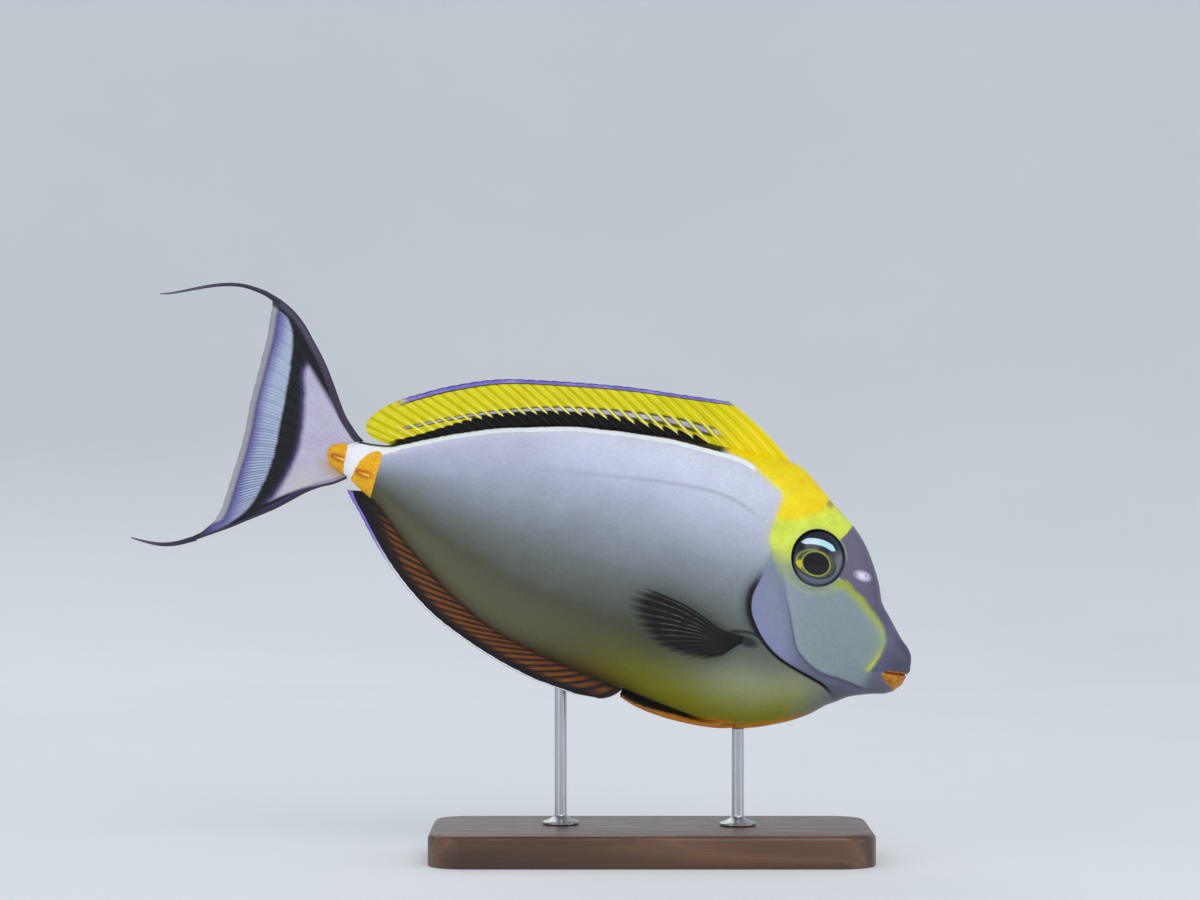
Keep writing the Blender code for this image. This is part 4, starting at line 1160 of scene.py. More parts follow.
    @staticmethod
    def _roll(base: np.ndarray, normals: np.ndarray, stations: Table) -> np.ndarray:
        """How far the skin moves out to lie on a roll round the muzzle.

        Args:
            base: places on the plain body.
            normals: outward ways there.
            stations: (x, y, z, radius) along the roll, from a corner of the mouth to the middle.

        Returns:
            Distance along the outward way, 0 where the roll is out of reach.
        """
        half = along(stations, np.linspace(0, 1, 44))
        path = np.concatenate([half, half * (1, -1, 1, 1)])
        out = np.zeros(len(base))
        for x, y, z, radius in path:
            to_ball = np.array((x, y, z)) - base
            way = np.einsum("ij,ij->i", to_ball, normals)
            left = radius**2 - np.einsum("ij,ij->i", to_ball, to_ball) + way**2
            hit = way + np.sqrt(np.clip(left, 0, None))
            out = np.where((left > 0) & (hit > out) & (hit < 6), hit, out)
        return out

    @staticmethod
    def _soften_lips(mesh: Mesh) -> None:
        """Melts the lips into the muzzle.

        Args:
            mesh: mesh of the skin.
        """
        shape = bmesh.new()
        shape.from_mesh(mesh)
        muzzle = [vertex for vertex in shape.verts if vertex.co.x > -14.5 and vertex.co.z < 4]
        for _ in range(3):
            bmesh.ops.smooth_vert(shape, verts=muzzle, factor=0.5, use_axis_x=True, use_axis_y=True, use_axis_z=True)
        shape.to_mesh(mesh)
        shape.free()


class SkinFinish(Finish):
    """Living colours of the skin: lavender flank, yellow nape, dark mask, orange lips and patches by the tail, with
    painted light and shade laid over them in places.
    """

    name = "fish_skin"
    slot = "flesh_trunk"
    coat = 0.14
    coat_roughness = 0.22
    relief = 0.07
    cloud_scale = 0.07
    grain_scale = 0.8

    @cached_property
    def scales(self) -> NodeOutputs:
        """Relief and tone of the tiny scales."""
        return self.use(self.effects.scales, {"Place": self.place})

    def paint(self) -> None:
        """Lays the colours zone by zone, and lets scales and mottling vary them."""
        for zone in (
            self._flank, self._belly, self._gill_cover, self._cheek, self._nape, self._back, self._mask, self._mouth,
            self._nose_and_orbit, self._stalk,
        ):
            zone()
        tone = self.both(self.scales["Tone"], 0.07)
        tone = self.fused(self.mottle["Grain"], 0.16, tone)
        tone = self.plus(tone, self.fused(self.mottle["Clouds"], 0.14, 1))
        self.colour = self.node("ShaderNodeHueSaturation", {"Value": tone, "Color": self.colour}).outputs[0]
        self.set("Coat Weight", self.step("yellow", -2, 1, self.coat, 0.02))

    def gloss(self) -> Socket:
        """Roughness that varies with grain and scales."""
        return self.fused(self.scales["Tone"], 0.08, super().gloss())

    def height(self) -> Socket:
        """Relief of the scales, finer on the mask, with the lateral line pressed in.

        Returns:
            Height of the relief.
        """
        smooth = self.step("mask", -1, 3, 1, 0.35)
        lateral = self.size("lateral")
        line = self.both(self.step(lateral, 1.4, 0.3), -0.3, x=(-79, -86))
        scales = self.plus(self.both(self.scales["Relief"], smooth), line)
        return self.fused(self.mottle["Grain"], 0.5, scales)

    def _flank(self) -> None:
        """Flank from the pale back to the olive belly, paler at the shoulder and greyer behind. The run over height
        is partly the flank's own colour and partly painted light and shade.
        """
        # partly painted light and shade: lighter towards the back that light falls on, darker towards the belly
        self.colour = self.ramp(
            self.fused(self.mottle["Clouds"], 0.07, "height"),
            (0, (106, 94, 34)), (0.10, (96, 94, 46)), (0.24, (76, 79, 61)), (0.40, (106, 113, 111)),
            (0.56, (140, 146, 157)), (0.72, (175, 179, 202)), (0.88, (207, 210, 233)), (1, (226, 229, 247)),
        )
        self.over((206, 210, 228), 0.6, x=(-150, -80), height=(0.52, 0.85))
        self.over((150, 148, 172), 0.3, x=(-150, -200), height=(0.6, 0.86))

    def _belly(self) -> None:
        """Pale breast, olive and orange belly, and painted shadow of the pectoral fin on the flank under it and round
        its root.
        """
        step = self.step
        self.over((164, 176, 150), 0.85, x=(-112, -62), height=(0.36, 0.14))
        self.over((134, 133, 18), 0.92, step("x", -140, -88), belly=(30, 5), x=(-22, -48))
        rim = self.rest(self.mark("belly", 2.6, 1.8, 0.8, 0.25))
        self.over((222, 144, 16), rim, step("x", -82, -64), x=(-25, -45))
        self.over((92, 92, 80), 0.6, x=(-118, -165), height=(0.34, 0.1))
        self.over((62, 50, 30), 0.6, belly=(7, 0.5), x=(-100, -116))
        # painted shadow that the pectoral fin casts on the flank under it
        pectoral_shadow = self.both(self.hump("x", -92, 21, 13), self.hump("z", -17, 13, 9))
        self.over((70, 74, 66), 0.32, pectoral_shadow)
        # painted shadow round the root of the pectoral fin
        root = self.reach((-70.5, -12.3), (6.5, 2.8))
        self.over((24, 26, 30), 0.92, step(root, 1.2, 0.4))

    def _gill_cover(self) -> None:
        """Lilac gill cover, soft at its upper end, over painted shadow that its edge casts into the gill opening."""
        step = self.step
        # painted shadow behind the edge of the gill cover
        self.over((58, 58, 58), 0.62, step("z", 24, 6), gill=(-6.5, -1), z=(-14, -2))
        eased = self.ratio("gill", step("z", 6, 26, 1, 8))
        shade = self.ramp(step("gill", 0.5, 9), (0, (134, 138, 176)), (1, (133, 142, 164)))
        shade = self.mix(step("x", -58, -38, 0, 0.9), shade, (84, 89, 98))
        shade = self.mix(step("z", 6, 24, 0, 0.6), shade, (126, 139, 148))
        self.over(shade, step(eased, -0.3, 0.3), z=(40, 24))

    def _cheek(self) -> None:
        """Grey-green cheek with its fold, painted shade in the slit along the rim of the gill cover, and the line to
        the pectoral fin.
        """
        step, hump = self.step, self.hump
        teal = self.ramp(
            step("x", -70, -18), (0, (147, 156, 169)), (0.5, (139, 152, 156)), (1, (134, 149, 153))
        )
        self.over(teal, cheek=(-0.8, 0.8), gill=(0, 0.8), z=(40, 24))
        self.over((84, 90, 99), 0.9, x=(-46, -24), cheek=(1, -1.5))
        self.over((76, 72, 106), 0.7, hump("cheek", -0.3, 0.5, 0.6), z=(24, -2))
        self.over((112, 108, 150), 0.35, hump("cheek", -2.2, 1.2, 1.1), z=(20, 12))
        # painted shade: a dark line in the slit under the rim of the gill cover, and a broader band of it behind the
        # rim
        self.over((14, 14, 20), hump("gill", -0.3, 0.75, 0.45), z=(20, 6), x=(-24, -33))
        gill_slit_shade = self.both(step("gill", 0.9, 0.2), 0.9, gill=(-3.2, -0.4))
        self.over((16, 16, 22), gill_slit_shade, step("z", -13, -6), z=(19, 9))
        line = self.size("fin_line")
        self.over((24, 24, 30), 0.85, step(line, 1.1, 0.4), step("x", -80, -77), x=(-63.5, -65.5))

    def _nape(self) -> None:
        """Golden nape and lime brow, which thin out round the back of the eye."""
        step = self.step
        self.over((212, 210, 150), 0.35, yellow=(-5, 0.5), z=(22, 34))
        cloud = self.noise(self.place, 0.12)
        gold = self.ramp(cloud, (0.3, (247, 214, 0)), (0.5, (251, 224, 0)), (0.72, (254, 234, 0)))
        lime = self.ramp(cloud, (0.3, (206, 222, 64)), (0.55, (224, 238, 84)), (0.8, (234, 246, 106)))
        lime = self.mix(step("z", 33, 22), lime, (164, 178, 120))
        brow = self.mark("lime", 0.2, 2.2, 1, 0.3)
        zone = self.mark("yellow", 0, 1.3, 0.7, 0.3)
        self.over(self.mix(brow, gold, lime), zone, z=(17, 29, 0.45, 1))

    def _back(self) -> None:
        """Faint lateral line, and the white line under the dorsal fin with the black above it."""
        step = self.step
        lateral = self.size("lateral")
        self.over((120, 120, 142), 0.34, step(lateral, 1.5, 0.1), step("x", -80, -92), x=(-200, -110))
        ahead = step("x", -89.5, -93.5)
        self.over((216, 218, 236), 0.5, self.hump("crest", -1.2, 1.6, 1.4), ahead)
        below_top = step(self.minus("crest", step("x", -112, -104, 2.4, 1.1)), 0.1, -0.6)
        self.over((246, 252, 255), self.mark("crest", -1.1, 0.22, 0.35, 0.45), below_top, ahead)
        self.over((8, 8, 10), self.mark("crest", 0.75, 0.22, 0.35, 0.45), x=(-103, -109))

    def _mask(self) -> None:
        """Dark mask down to the snout and the yellow-green stripe behind it."""
        step = self.step
        stripe = self.size("stripe")
        within = self.both(z=(-9, -5.5), x=(-46, -41))
        self.over((156, 174, 108), 0.5, step(stripe, 4.8, 0.4), within)
        navy = self.ramp(
            step("x", -44, -3),
            (0, (106, 100, 124)), (0.35, (90, 85, 110)), (0.7, (82, 80, 112)), (0.87, (92, 92, 120)),
            (1, (68, 68, 92)),
        )
        self.over(navy, self.mark("mask", 0.2, 0.5))
        lime = self.ramp(
            step("z", -7, 25),
            (0, (206, 216, 40)), (0.3, (154, 174, 94)), (0.7, (158, 176, 84)), (1, (160, 172, 52)),
        )
        past = self.minus(stripe, step("z", 4, 20, 0.7, 1.35))
        self.over(lime, self.rest(self.mark(past, 0, 1.2, 0.35)), within, 0.92)

    def _mouth(self) -> None:
        """Grey jaw, brown-orange lips and painted shade in the slit between them."""
        hump = self.hump
        self.over((98, 100, 118), x=(-19, -12.5), mouth=(0.4, -0.4))
        fine = self.noise(self.place, 0.5, 3)
        lip = self.ramp(fine, (0.3, (146, 84, 6)), (0.5, (188, 120, 10)), (0.7, (220, 158, 28)))
        self.over(lip, lower_lip=(-0.2, 0.7))
        self.over((196, 116, 22), hump("mouth", 0.35, 0.75, 0.3), x=(-9.5, -7.5))
        # painted shade in the slit of the mouth
        self.over((44, 22, 14), hump("mouth", 0, 0.22, 0.2), x=(-10.6, -9.4))

    def _nose_and_orbit(self) -> None:
        """Pale spot round the nostrils with painted shade in their pits, a dusky notch on the brow, and a ring of
        painted shade in the socket round the eye with painted light on its lower front part.
        """
        step = self.step
        self.over((178, 172, 202), spot=(1.15, 0.7))
        self.over((228, 224, 242), spot=(0.75, 0.3))
        # painted shade in the pits of the nostrils
        self.over((46, 42, 56), nostril=(0.15, -0.3, 0, 0.7))
        self.over((112, 110, 100), 0.6, step(self.reach((-56, 55), (1, 1)), 2.6, 0.8))
        self.over((206, 216, 150), 0.35, self.hump("eye_ring", 0.5, 0.5, 0.5), z=(32, 38))
        # painted shade in the socket round the eye, darker up and behind, with painted light on its lower front part
        self.over(self.mix(step(self.forward_down, -82, -62), (12, 12, 18), (70, 74, 90)), eye_ring=(0.05, -0.5))

    def _stalk(self) -> None:
        """White and orange of the tail stalk, painted shade round the feet of the keel plates, and the black line
        along its top.
        """
        self.over((250, 250, 253), self.mark("white", grain=0.6))
        fine = self.noise(self.place, 0.8, 3, 0.55)
        orange = self.ramp(fine, (0.25, (234, 156, 0)), (0.5, (246, 180, 0)), (0.75, (252, 200, 8)))
        # painted shade: red-brown round the foot of each keel plate
        orange = self.mix(self.step("keel", 2.6, 0.8, 0, 0.75), orange, (204, 96, 6))
        for name in ("front_patch", "rear_patch"):
            self.over(orange, self.mark(name, grain=0.6))
        crown = self.step("crown", 1.3, 0.6)
        self.over((12, 11, 16), self.hump("x", -248, 8.5, 1.5), crown)


@dataclass
class Eye(Maker):
    """Eye of one side: a polished ball with its iris, its pupil and the dark white of the eye round them."""

    side: Side
    segments: int = 96
    rings: int = 72
    pupil: tuple[float, float, float, float] = (-0.7, -3.2, 5.7, 4.6)
    iris: tuple[float, float, float, float] = (-1.0, -3.1, 8.6, 5.6)

    def build(self) -> None:
        """Builds the eye."""
        side = self.side.name.lower()
        shape = bmesh.new()
        bmesh.ops.create_uvsphere(shape, u_segments=self.segments, v_segments=self.rings, radius=1.0)
        turn = Matrix.Rotation(-self.side.value * math.pi / 2, 3, "X")
        bmesh.ops.rotate(shape, cent=(0, 0, 0), matrix=turn, verts=shape.verts)
        bmesh.ops.scale(shape, vec=FACE.eye_radii, verts=shape.verts)
        piece = self.piece("eyeball_" + side, shape)
        mesh = piece.data
        points = self.points(mesh)
        pupil, iris = self._ring(points, self.pupil), self._ring(points, self.iris)
        self.keep(mesh, points, {"pupil": pupil, "iris": iris})
        inward = -0.16 * ease(pupil, 0.1, -0.5) + 0.1 * bump(iris, 0.7)
        points[:, 1] += self.side.value * np.where(points[:, 1] * self.side.value > 0, inward, 0.0)
        self.move(mesh, points)
        mesh.transform(FACE.eye_place(self.side))
        self.pose(mesh)
        self.hand_over(piece, EyeFinish, ("eye_" + side,))

    @staticmethod
    def _ring(points: np.ndarray, ring: tuple[float, float, float, float]) -> np.ndarray:
        """Distance of places out from an oval on the front of the eye.

        Args:
            points: places in the eye's own frame.
            ring: centre and half sizes of the oval, lengthwise and upwards.

        Returns:
            Signed distance, below zero inside the oval.
        """
        x, z, half_x, half_z = ring
        share = np.hypot((points[:, 0] - x) / half_x, (points[:, 2] - z) / half_z)
        return (share - 1) * (half_x + half_z) / 2


class EyeFinish(Finish):
    """Glossy eye: black pupil, thin lime and gold ring, dark outer ball with painted grey sheen low and in front, and
    a painted reflection of a long lamp as a pale cyan arc in its upper part.
    """

    name = "fish_eye"
    slot = "eye"
    roughness = 0.3
    coat = 0.4
    coat_roughness = 0.03
    specular = 0.2
    relief = 0.0

    def paint(self) -> None:
        """Lays ball, painted sheen, rim, iris, pupil and the painted reflection of the arc."""
        step, hump = self.step, self.hump
        fine = self.fine
        self.colour = self.ramp(fine, (0.3, (14, 17, 26)), (0.7, (36, 42, 56)))
        beyond = step("iris", 0.2, 1.4)
        # painted sheen: grey over the lower and front parts of the ball
        self.over((112, 118, 138), 0.75, beyond, z=(-4, -8.5))
        self.over((120, 128, 138), 0.75, beyond, x=(5.5, 9.5), z=(8, 3))
        # dark rim of the ball, lighter low in front as painted sheen
        rim = self.mix(step(self.forward_down, -6, 12), (16, 16, 26), (76, 82, 98))
        self.over(rim, step(self.reach((0, 0), (12.4, 12.8)), 0.85, 0.91))
        inside = step("iris", 0.5, -0.3)
        ground = self.ramp(self.noise(self.place, 1.6, 3), (0.3, (44, 50, 44)), (0.7, (92, 100, 66)))
        self.over(ground, inside)
        self.over((150, 166, 66), hump("iris", -0.35, 0.35, 0.3), step(fine, 0.25, 0.5, 0.3, 0.7), x=(6, -2))
        self.over((164, 180, 62), 0.8, hump("pupil", 0.5, 0.26, 0.25))
        flash = step(self.reach((-7.2, -5.4), (2.1, 1.7)), 1.3, 0.6)
        self.over((214, 196, 30), flash, inside, pupil=(0.3, 0.8))
        self.over((6, 6, 8), pupil=(0.25, -0.1))
        # painted reflection of a long lamp: a pale cyan arc over the upper part of the eye
        aside = self.plus("x", 1.7)
        bow = self.fused(aside, 0.07, self.fused(self.both(aside, aside), -0.03, 6.2))
        thick = step(self.size(aside), 8.9, 5.4, -0.5, 1.4)
        past = self.minus(self.size(self.minus("z", bow)), thick)
        self.over(self.mix(step("x", -5, 5), (206, 236, 242), (178, 234, 246)), step(past, 0.2, -0.2))

    def gloss(self) -> Socket:
        """Slightly uneven polish."""
        return self.step(self.fine, 0.3, 0.7, 0.26, 0.38)

    @cached_property
    def fine(self) -> Socket:
        """Fine mottling of the ball."""
        return self.noise(self.place, 0.9, 4, 0.6)


@dataclass(frozen=True)
class FinGrid:
    """Places over a fin's two faces, read off a closed slab."""

    share: np.ndarray
    row: np.ndarray
    face: np.ndarray


@dataclass
class Fin(Maker):
    """A thin fin: a closed slab laid along rays from root to margin, with the rays raised on both faces."""

    rays: int = 30
    spines: int = 0
    columns_a_ray: int = 12
    rows: int = 36
    root_half: float = 0.62
    web_half: float = 0.26
    margin_half: float = 0.14
    ray_rise: float = 0.18
    spine_rise: float = 0.42
    split: float = 1.0
    crowding: float = 0.0

    def phase(self, share: np.ndarray) -> np.ndarray:
        """Place along the root in rays, which stand closer together towards the rear where crowding is above zero."""
        return (self.rays - 1) * share * (1 - self.crowding * (1 - share))

    def begin(self, name: str) -> tuple[Object, FinGrid]:
        """Starts a fin as a closed slab over the unit square, of thickness 1.

        Args:
            name: name of the piece.

        Returns:
            The piece, and the places of its vertices on the fin.
        """
        shape = bmesh.new()
        columns = (self.rays - 1) * self.columns_a_ray
        bmesh.ops.create_grid(shape, x_segments=columns, y_segments=self.rows, size=0.5)
        self.lift(shape, shape.faces[:], 1.0)
        piece = self.piece(name, shape)
        points = self.points(piece.data)
        return piece, FinGrid(points[:, 0] + 0.5, points[:, 1] + 0.5, np.where(points[:, 2] > 0.5, 1.0, -1.0))

    def ridge(self, phase: np.ndarray, row: np.ndarray) -> np.ndarray:
        """Height of the rays from 0 to 1, each splitting twice on its way to the margin.

        Args:
            phase: place along the root in rays.
            row: share of the way to the margin.

        Returns:
            Height at each place.
        """
        off = np.abs(phase - np.round(phase))
        soft = np.where(np.round(phase) < self.spines, 0.0, self.split)
        arm = np.abs(off - 0.14 * soft * ease(row, 0.36, 0.62))
        twig = np.abs(arm - 0.075 * soft * ease(row, 0.66, 0.92))
        width = 0.12 * (1 - 0.5 * ease(row, 0.3, 1.0) * soft)
        return bump(twig, width)

    def half(self, phase: np.ndarray, row: np.ndarray) -> np.ndarray:
        """Half thickness of the fin.

        Args:
            phase: place along the root in rays.
            row: share of the way to the margin.

        Returns:
            Half thickness at each place.
        """
        web = self.root_half + (self.web_half - self.root_half) * ease(row, 0.0, 0.3)
        web = web + (self.margin_half - self.web_half) * ease(row, 0.55, 1.0)
        rise = np.where(np.round(phase) < self.spines, self.spine_rise, self.ray_rise)
        return web + rise * self.ridge(phase, row) * (1 - 0.7 * row)

    def close(
        self,
        piece: Object,
        grid: FinGrid,
        flat: np.ndarray,
        aside: np.ndarray,
        half: np.ndarray,
        readings: dict[str, np.ndarray],
        way: tuple[float, float, float] = (0.0, 1.0, 0.0),
    ) -> None:
        """Lays the slab along the fin and writes what its finish reads.

        Args:
            piece: the fin's piece.
            grid: places of its vertices on the fin.
            flat: middle of the fin at each vertex, seen from the side.
            aside: how far it stands to the left.
            half: half thickness.
            readings: further values by name.
            way: way from the middle to the upper face.
        """
        middle = rows(flat[:, 0], aside, flat[:, 1])
        placed = middle + (grid.face * half)[:, None] * np.asarray(way)
        phase = self.phase(grid.share)
        split = np.where(np.round(phase) < self.spines, 0.0, self.split)
        self.lay(piece.data, placed, middle, {"phase": phase, "row": grid.row, "split": split} | readings)


@dataclass
class MedianFin(Fin):
    """Dorsal or anal fin, which stands in the middle plane."""

    name: str = "dorsal"
    outward: float = 1.0
    table: Table = ()
    bow: float = 1.5
    sunk: float = 0.7
    wave: float = 0.35
    scallop: float = 0.3
    edge_steps: int = 80

    def build(self) -> None:
        """Builds the fin."""
        piece, grid = self.begin(self.name)
        rays = np.asarray(self.table, float)
        shares = (rays[:, 0] - rays[0, 0]) / (rays[-1, 0] - rays[0, 0])
        edge = BODY.top if self.outward > 0 else BODY.bottom
        back = rays[0, 0] + grid.share * (rays[-1, 0] - rays[0, 0])
        way = rows(-2.0, read_table(edge, back + 1) - read_table(edge, back - 1))
        root = rows(-back, read_table(edge, back)) - self.outward * self.sunk * crossways(way)
        tip_back, tip_z = (read_table(rows(shares, values), grid.share) for values in rays.T[1:])
        span = rows(-tip_back, tip_z) - root
        length = np.linalg.norm(span, axis=1)
        phase = self.phase(grid.share)
        dip = self.scallop * (1 - self.ridge(phase, grid.row)) * ease(grid.row, 0.8, 1.0)
        row = grid.row - dip / length
        bend = self.outward * self.bow * (1 - grid.share) ** 4 * 4 * grid.row * (1 - grid.row)
        flat = root + row[:, None] * span + bend[:, None] * crossways(span)
        sway = self.wave * grid.row**1.5 * np.sin(phase * 0.83) * ease(grid.share, 0.02, 0.2)
        sway = sway * (1 - ease(grid.share, 0.9, 1.0))
        ends = 1 - 0.45 * (1 - ease(grid.share, 0.0, 0.012)) - 0.6 * ease(grid.share, 0.985, 1.0)
        foot = np.linspace(rays[0, 0], rays[-1, 0], self.edge_steps)
        line = rows(-foot, read_table(edge, foot))[::-1]
        readings = {
            "from_root": row * length - self.sunk,
            "from_margin": (1 - grid.row) * length,
            "lift": self.outward * line_distance(flat[:, 0], flat[:, 1], line),
        }
        self.close(piece, grid, flat, sway, self.half(phase, grid.row) * ends, readings)
        finish = DorsalFinish if self.name == "dorsal" else AnalFinish
        self.hand_over(piece, finish, (self.name + "_fin",))


class DorsalFinish(FinFinish):
    """Yellow fin with lilac dashes along its foot, black under them, and a violet margin with a black line."""

    name = "dorsal_fin"
    coat = 0.03
    specular = 0.18
    ray_half = 0.1

    def paint(self) -> None:
        """Lays the yellow with its dark gaps, then foot, dashes and margin."""
        step, cloud, off = self.step, self.cloud, self.off()
        gold = self.ramp(cloud, (0.2, (208, 194, 0)), (0.5, (224, 212, 0)), (0.8, (236, 226, 6)))
        front = step("x", -122, -92)
        gold = self.mix(self.both(front, 0.85), gold, (252, 224, 0))
        gaps = self.both(step(off, 0.3, 0.5, 0, 0.42), step(front, 0, 1, 1, 0.5))
        gold = self.mix(gaps, gold, (140, 130, 0))
        gold = self.mix(self.both(self.rays["Ray"], 0.55), gold, (252, 244, 84))
        gold = self.mix(self.both(self.rays["Joint"], 0.2), gold, (150, 120, 0))
        lift = "lift"
        over = self._foot(gold)
        self._dashes()
        glint = self.both(step(off, 0.09, 0.03), step(lift, 9.5, 7.5), step(over, 0, 0.6), x=(-108, -120))
        self.over((250, 246, 190), glint, 0.7)
        self.over(gold, step(self.fused(lift, 1.3, "x"), -107, -102))
        self.over(gold, x=(-240, -246), from_root=(0.6, 1.4))
        self._margin()

    def _foot(self, gold: Socket) -> Socket:
        """Black foot, into which the yellow runs down in a pointed tooth along each ray.

        Args:
            gold: the yellow over it.

        Returns:
            Height over the black.
        """
        step, off = self.step, self.off()
        top = self.minus(step("x", -246, -206, 1.7, 4.1), step("x", -180, -98, 0, 4.4))
        tooth = self.math("POWER", self.math("MINIMUM", self.both(off, 2.5), 1), 0.6)
        rise = self.both(tooth, step("x", -110, -122), x=(-228, -204, 0.5, 2.2))
        over = self.minus("lift", self.plus(top, rise))
        self.colour = self.mix(self.mark(over, 0, wander=0.2), (6, 6, 8), gold)
        return over

    def _dashes(self) -> None:
        """Row of lilac dashes with dark rims, one between each two rays."""
        step, off = self.step, self.off()
        centre = step("x", -134, -112, 6.5, 5.6)
        tall = step("x", -240, -120, 0.4, 1.15)
        share = self.ratio(self.minus("lift", centre), tall)
        here = self.both(step("x", -106, -114), x=(-243, -236))
        self.over((20, 18, 24), self.hump(share, -0.2, 1.9, 0.5), here, step(off, 0.14, 0.22), 0.88)
        lilac = self.mix(step(self.cloud, 0.3, 0.7), (150, 146, 184), (208, 208, 230))
        self.over(lilac, self.hump(share, 0, 0.85, 0.3), here, step(off, 0.2, 0.27))

    def _margin(self) -> None:
        """Violet margin with a black line under it and an orange front edge."""
        step = self.step
        here = self.both(step("x", -247, -241), x=(-97, -118))
        self.over((22, 20, 26), self.hump("from_margin", 2.8, 0.5, 0.3), here, 0.9)
        violet = self.ramp(self.cloud, (0.25, (104, 92, 196)), (0.5, (136, 124, 222)), (0.8, (176, 168, 236)))
        violet = self.mix(self.both(self.rays["Midway"], 0.5), violet, (88, 74, 170))
        self.over(violet, here, from_margin=(2.55, 2.25))
        self.over((58, 46, 112), here, from_margin=(0.75, 0.45))
        self.over((240, 172, 0), 0.5, from_margin=(0.9, 0.2), x=(-116, -96))


class AnalFinish(FinFinish):
    """Orange-brown streaks between black ones, a broad black edge and a white margin that turns violet behind."""

    name = "anal_fin"
    coat = 0.08
    specular = 0.25
    ray_half = 0.13

    def paint(self) -> None:
        """Lays streaks, dark foot, dark edge and white margin."""
        step, mottle = self.step, self.mottle
        self.colour = self.ramp(self.cloud, (0.2, (94, 48, 8)), (0.5, (124, 64, 8)), (0.8, (154, 86, 16)))
        wave = self.fused(mottle["Clouds"], 0.22, self.off(0.25))
        self.over((20, 14, 10), step(wave, 0.08, 0.34), 0.94)
        self.over((206, 130, 40), self.rays["Ray"], 0.16)
        root = self.fused(mottle["Grain"], 3.2, "from_root")
        self.over((24, 18, 14), step(root, 4.6, 0.8), 0.85)
        span = self.ratio("from_margin", step("x", -215, -245, 1, 1.6))
        behind = step("x", -114, -128)
        edge = self.fused(mottle["Clouds"], 2, span)
        self.over((12, 10, 12), step(edge, 12.5, 6.5), behind, 0.94)
        self.over((8, 8, 12), step(span, 6, 4.6), behind)
        pale = self.mix(step("x", -218, -240), (250, 250, 255), (136, 120, 216))
        self.over(pale, step(span, 1.65, 1.4), x=(-117, -132))
        self.over((64, 60, 132), behind, 0.8, from_margin=(0.5, 0.28))


@dataclass
class TailFin(Fin):
    """Crescent tail fin in one web, with its two drawn-out corners as pieces of their own."""

    root: Table = (
        (-254.2, 11.75), (-257, 10.95), (-260.2, 8.95), (-264.8, 7.35), (-266.6, 5.9), (-267.6, 3.6), (-267.5, 1.6),
        (-266.6, -1.1), (-264.9, -2.9), (-261, -4.3), (-258, -5), (-255.4, -5.9),
    )
    upper_edge: Table = (
        (-254.2, 11.75), (-257, 13), (-260, 15.1), (-265, 19), (-270, 24.6), (-275, 30.6), (-280, 36.3),
        (-285, 41.2), (-290, 45.6), (-295, 50), (-300, 53.3), (-305, 55.6), (-309.5, 57), (-314, 57.9),
    )
    lower_edge: Table = (
        (-255.4, -5.9), (-260, -10.1), (-265, -13.4), (-270, -17.7), (-275, -23.3), (-280, -28.8), (-285, -33.5),
        (-290, -38), (-295, -42.6), (-300, -46.8), (-305, -50.9), (-310, -54.9), (-313.6, -57.3),
    )
    margin: Table = (
        (-314, 57.9), (-312.8, 56.3), (-311.5, 53.4), (-310.6, 48), (-309, 40), (-308, 30), (-307, 20), (-306, 10),
        (-304.3, 0), (-303.2, -10), (-302.8, -20), (-302.4, -30), (-302.2, -36), (-303, -41.6), (-306, -47.8),
        (-310, -52.6), (-313, -55.5), (-313.6, -57.3),
    )
    crescent_front: Table = (
        (-318, 49.6), (-311, 51.2), (-306, 51.4), (-302, 49), (-299, 44.5), (-296, 35), (-293, 20), (-290.5, 5),
        (-288.5, -10), (-289, -22), (-291, -32), (-295.5, -40), (-301, -46),
    )
    crescent_rear: Table = (
        (-309, 56), (-307, 50), (-305.6, 45), (-305, 30), (-303, 10), (-301, 0), (-299.6, -20), (-298.6, -34),
        (-299.6, -42), (-303, -47.4), (-308, -52.4),
    )
    base_rear: Table = (
        (-276, 41), (-284, 38.6), (-288, 36.2), (-289, 33), (-285.6, 22), (-281.5, 8), (-280, -3), (-280.6, -12),
        (-283, -24), (-290, -38),
    )
    sink: float = 1.4
    fold: float = 0.5

    def build(self) -> None:
        """Builds the web."""
        piece, grid = self.begin("tail_web")
        row = grid.row
        root, tip = along(self.root, grid.share), along(self.margin, grid.share)
        flat = root + row[:, None] * (tip - root)
        for edge, part in ((self.upper_edge, 1 - grid.share), (self.lower_edge, grid.share)):
            first, last = np.asarray((edge[0], edge[-1]), float)
            flat += part[:, None] * (along(edge, row) - first - row[:, None] * (last - first))
        phase = self.phase(grid.share)
        inner = ease(grid.share, 0.0, 0.08) * (1 - ease(grid.share, 0.92, 1.0))
        flat[:, 0] += 0.25 * (1 - self.ridge(phase, row)) * ease(row, 0.85, 1.0) * inner
        flat[:, 0] += self.sink * (1 - ease(row, 0.0, 0.06)) * inner
        sway = self.fold * np.sin(grid.share * 9.5) * row**1.5 * inner
        half = self.half(phase, row)
        rib = np.maximum(1 - ease(phase, 0.0, 0.9), ease(phase, self.rays - 1.9, self.rays - 1.0))
        half = half + 0.35 * rib * (1 - 0.6 * row)
        x, z = flat[:, 0], flat[:, 1]
        lines = ("crescent_front", "crescent_rear", "base_rear")
        readings = {name: beside(x, z, getattr(self, name)) for name in lines}
        for name in ("margin", "upper_edge", "lower_edge"):
            readings[name] = np.abs(beside(x, z, getattr(self, name)))
        readings["from_root"] = row * np.linalg.norm(tip - root, axis=1)
        self.close(piece, grid, flat, sway, half, readings)
        self.hand_over(piece, TailFinish, ("tail_fin_upper", "tail_fin_lower"))


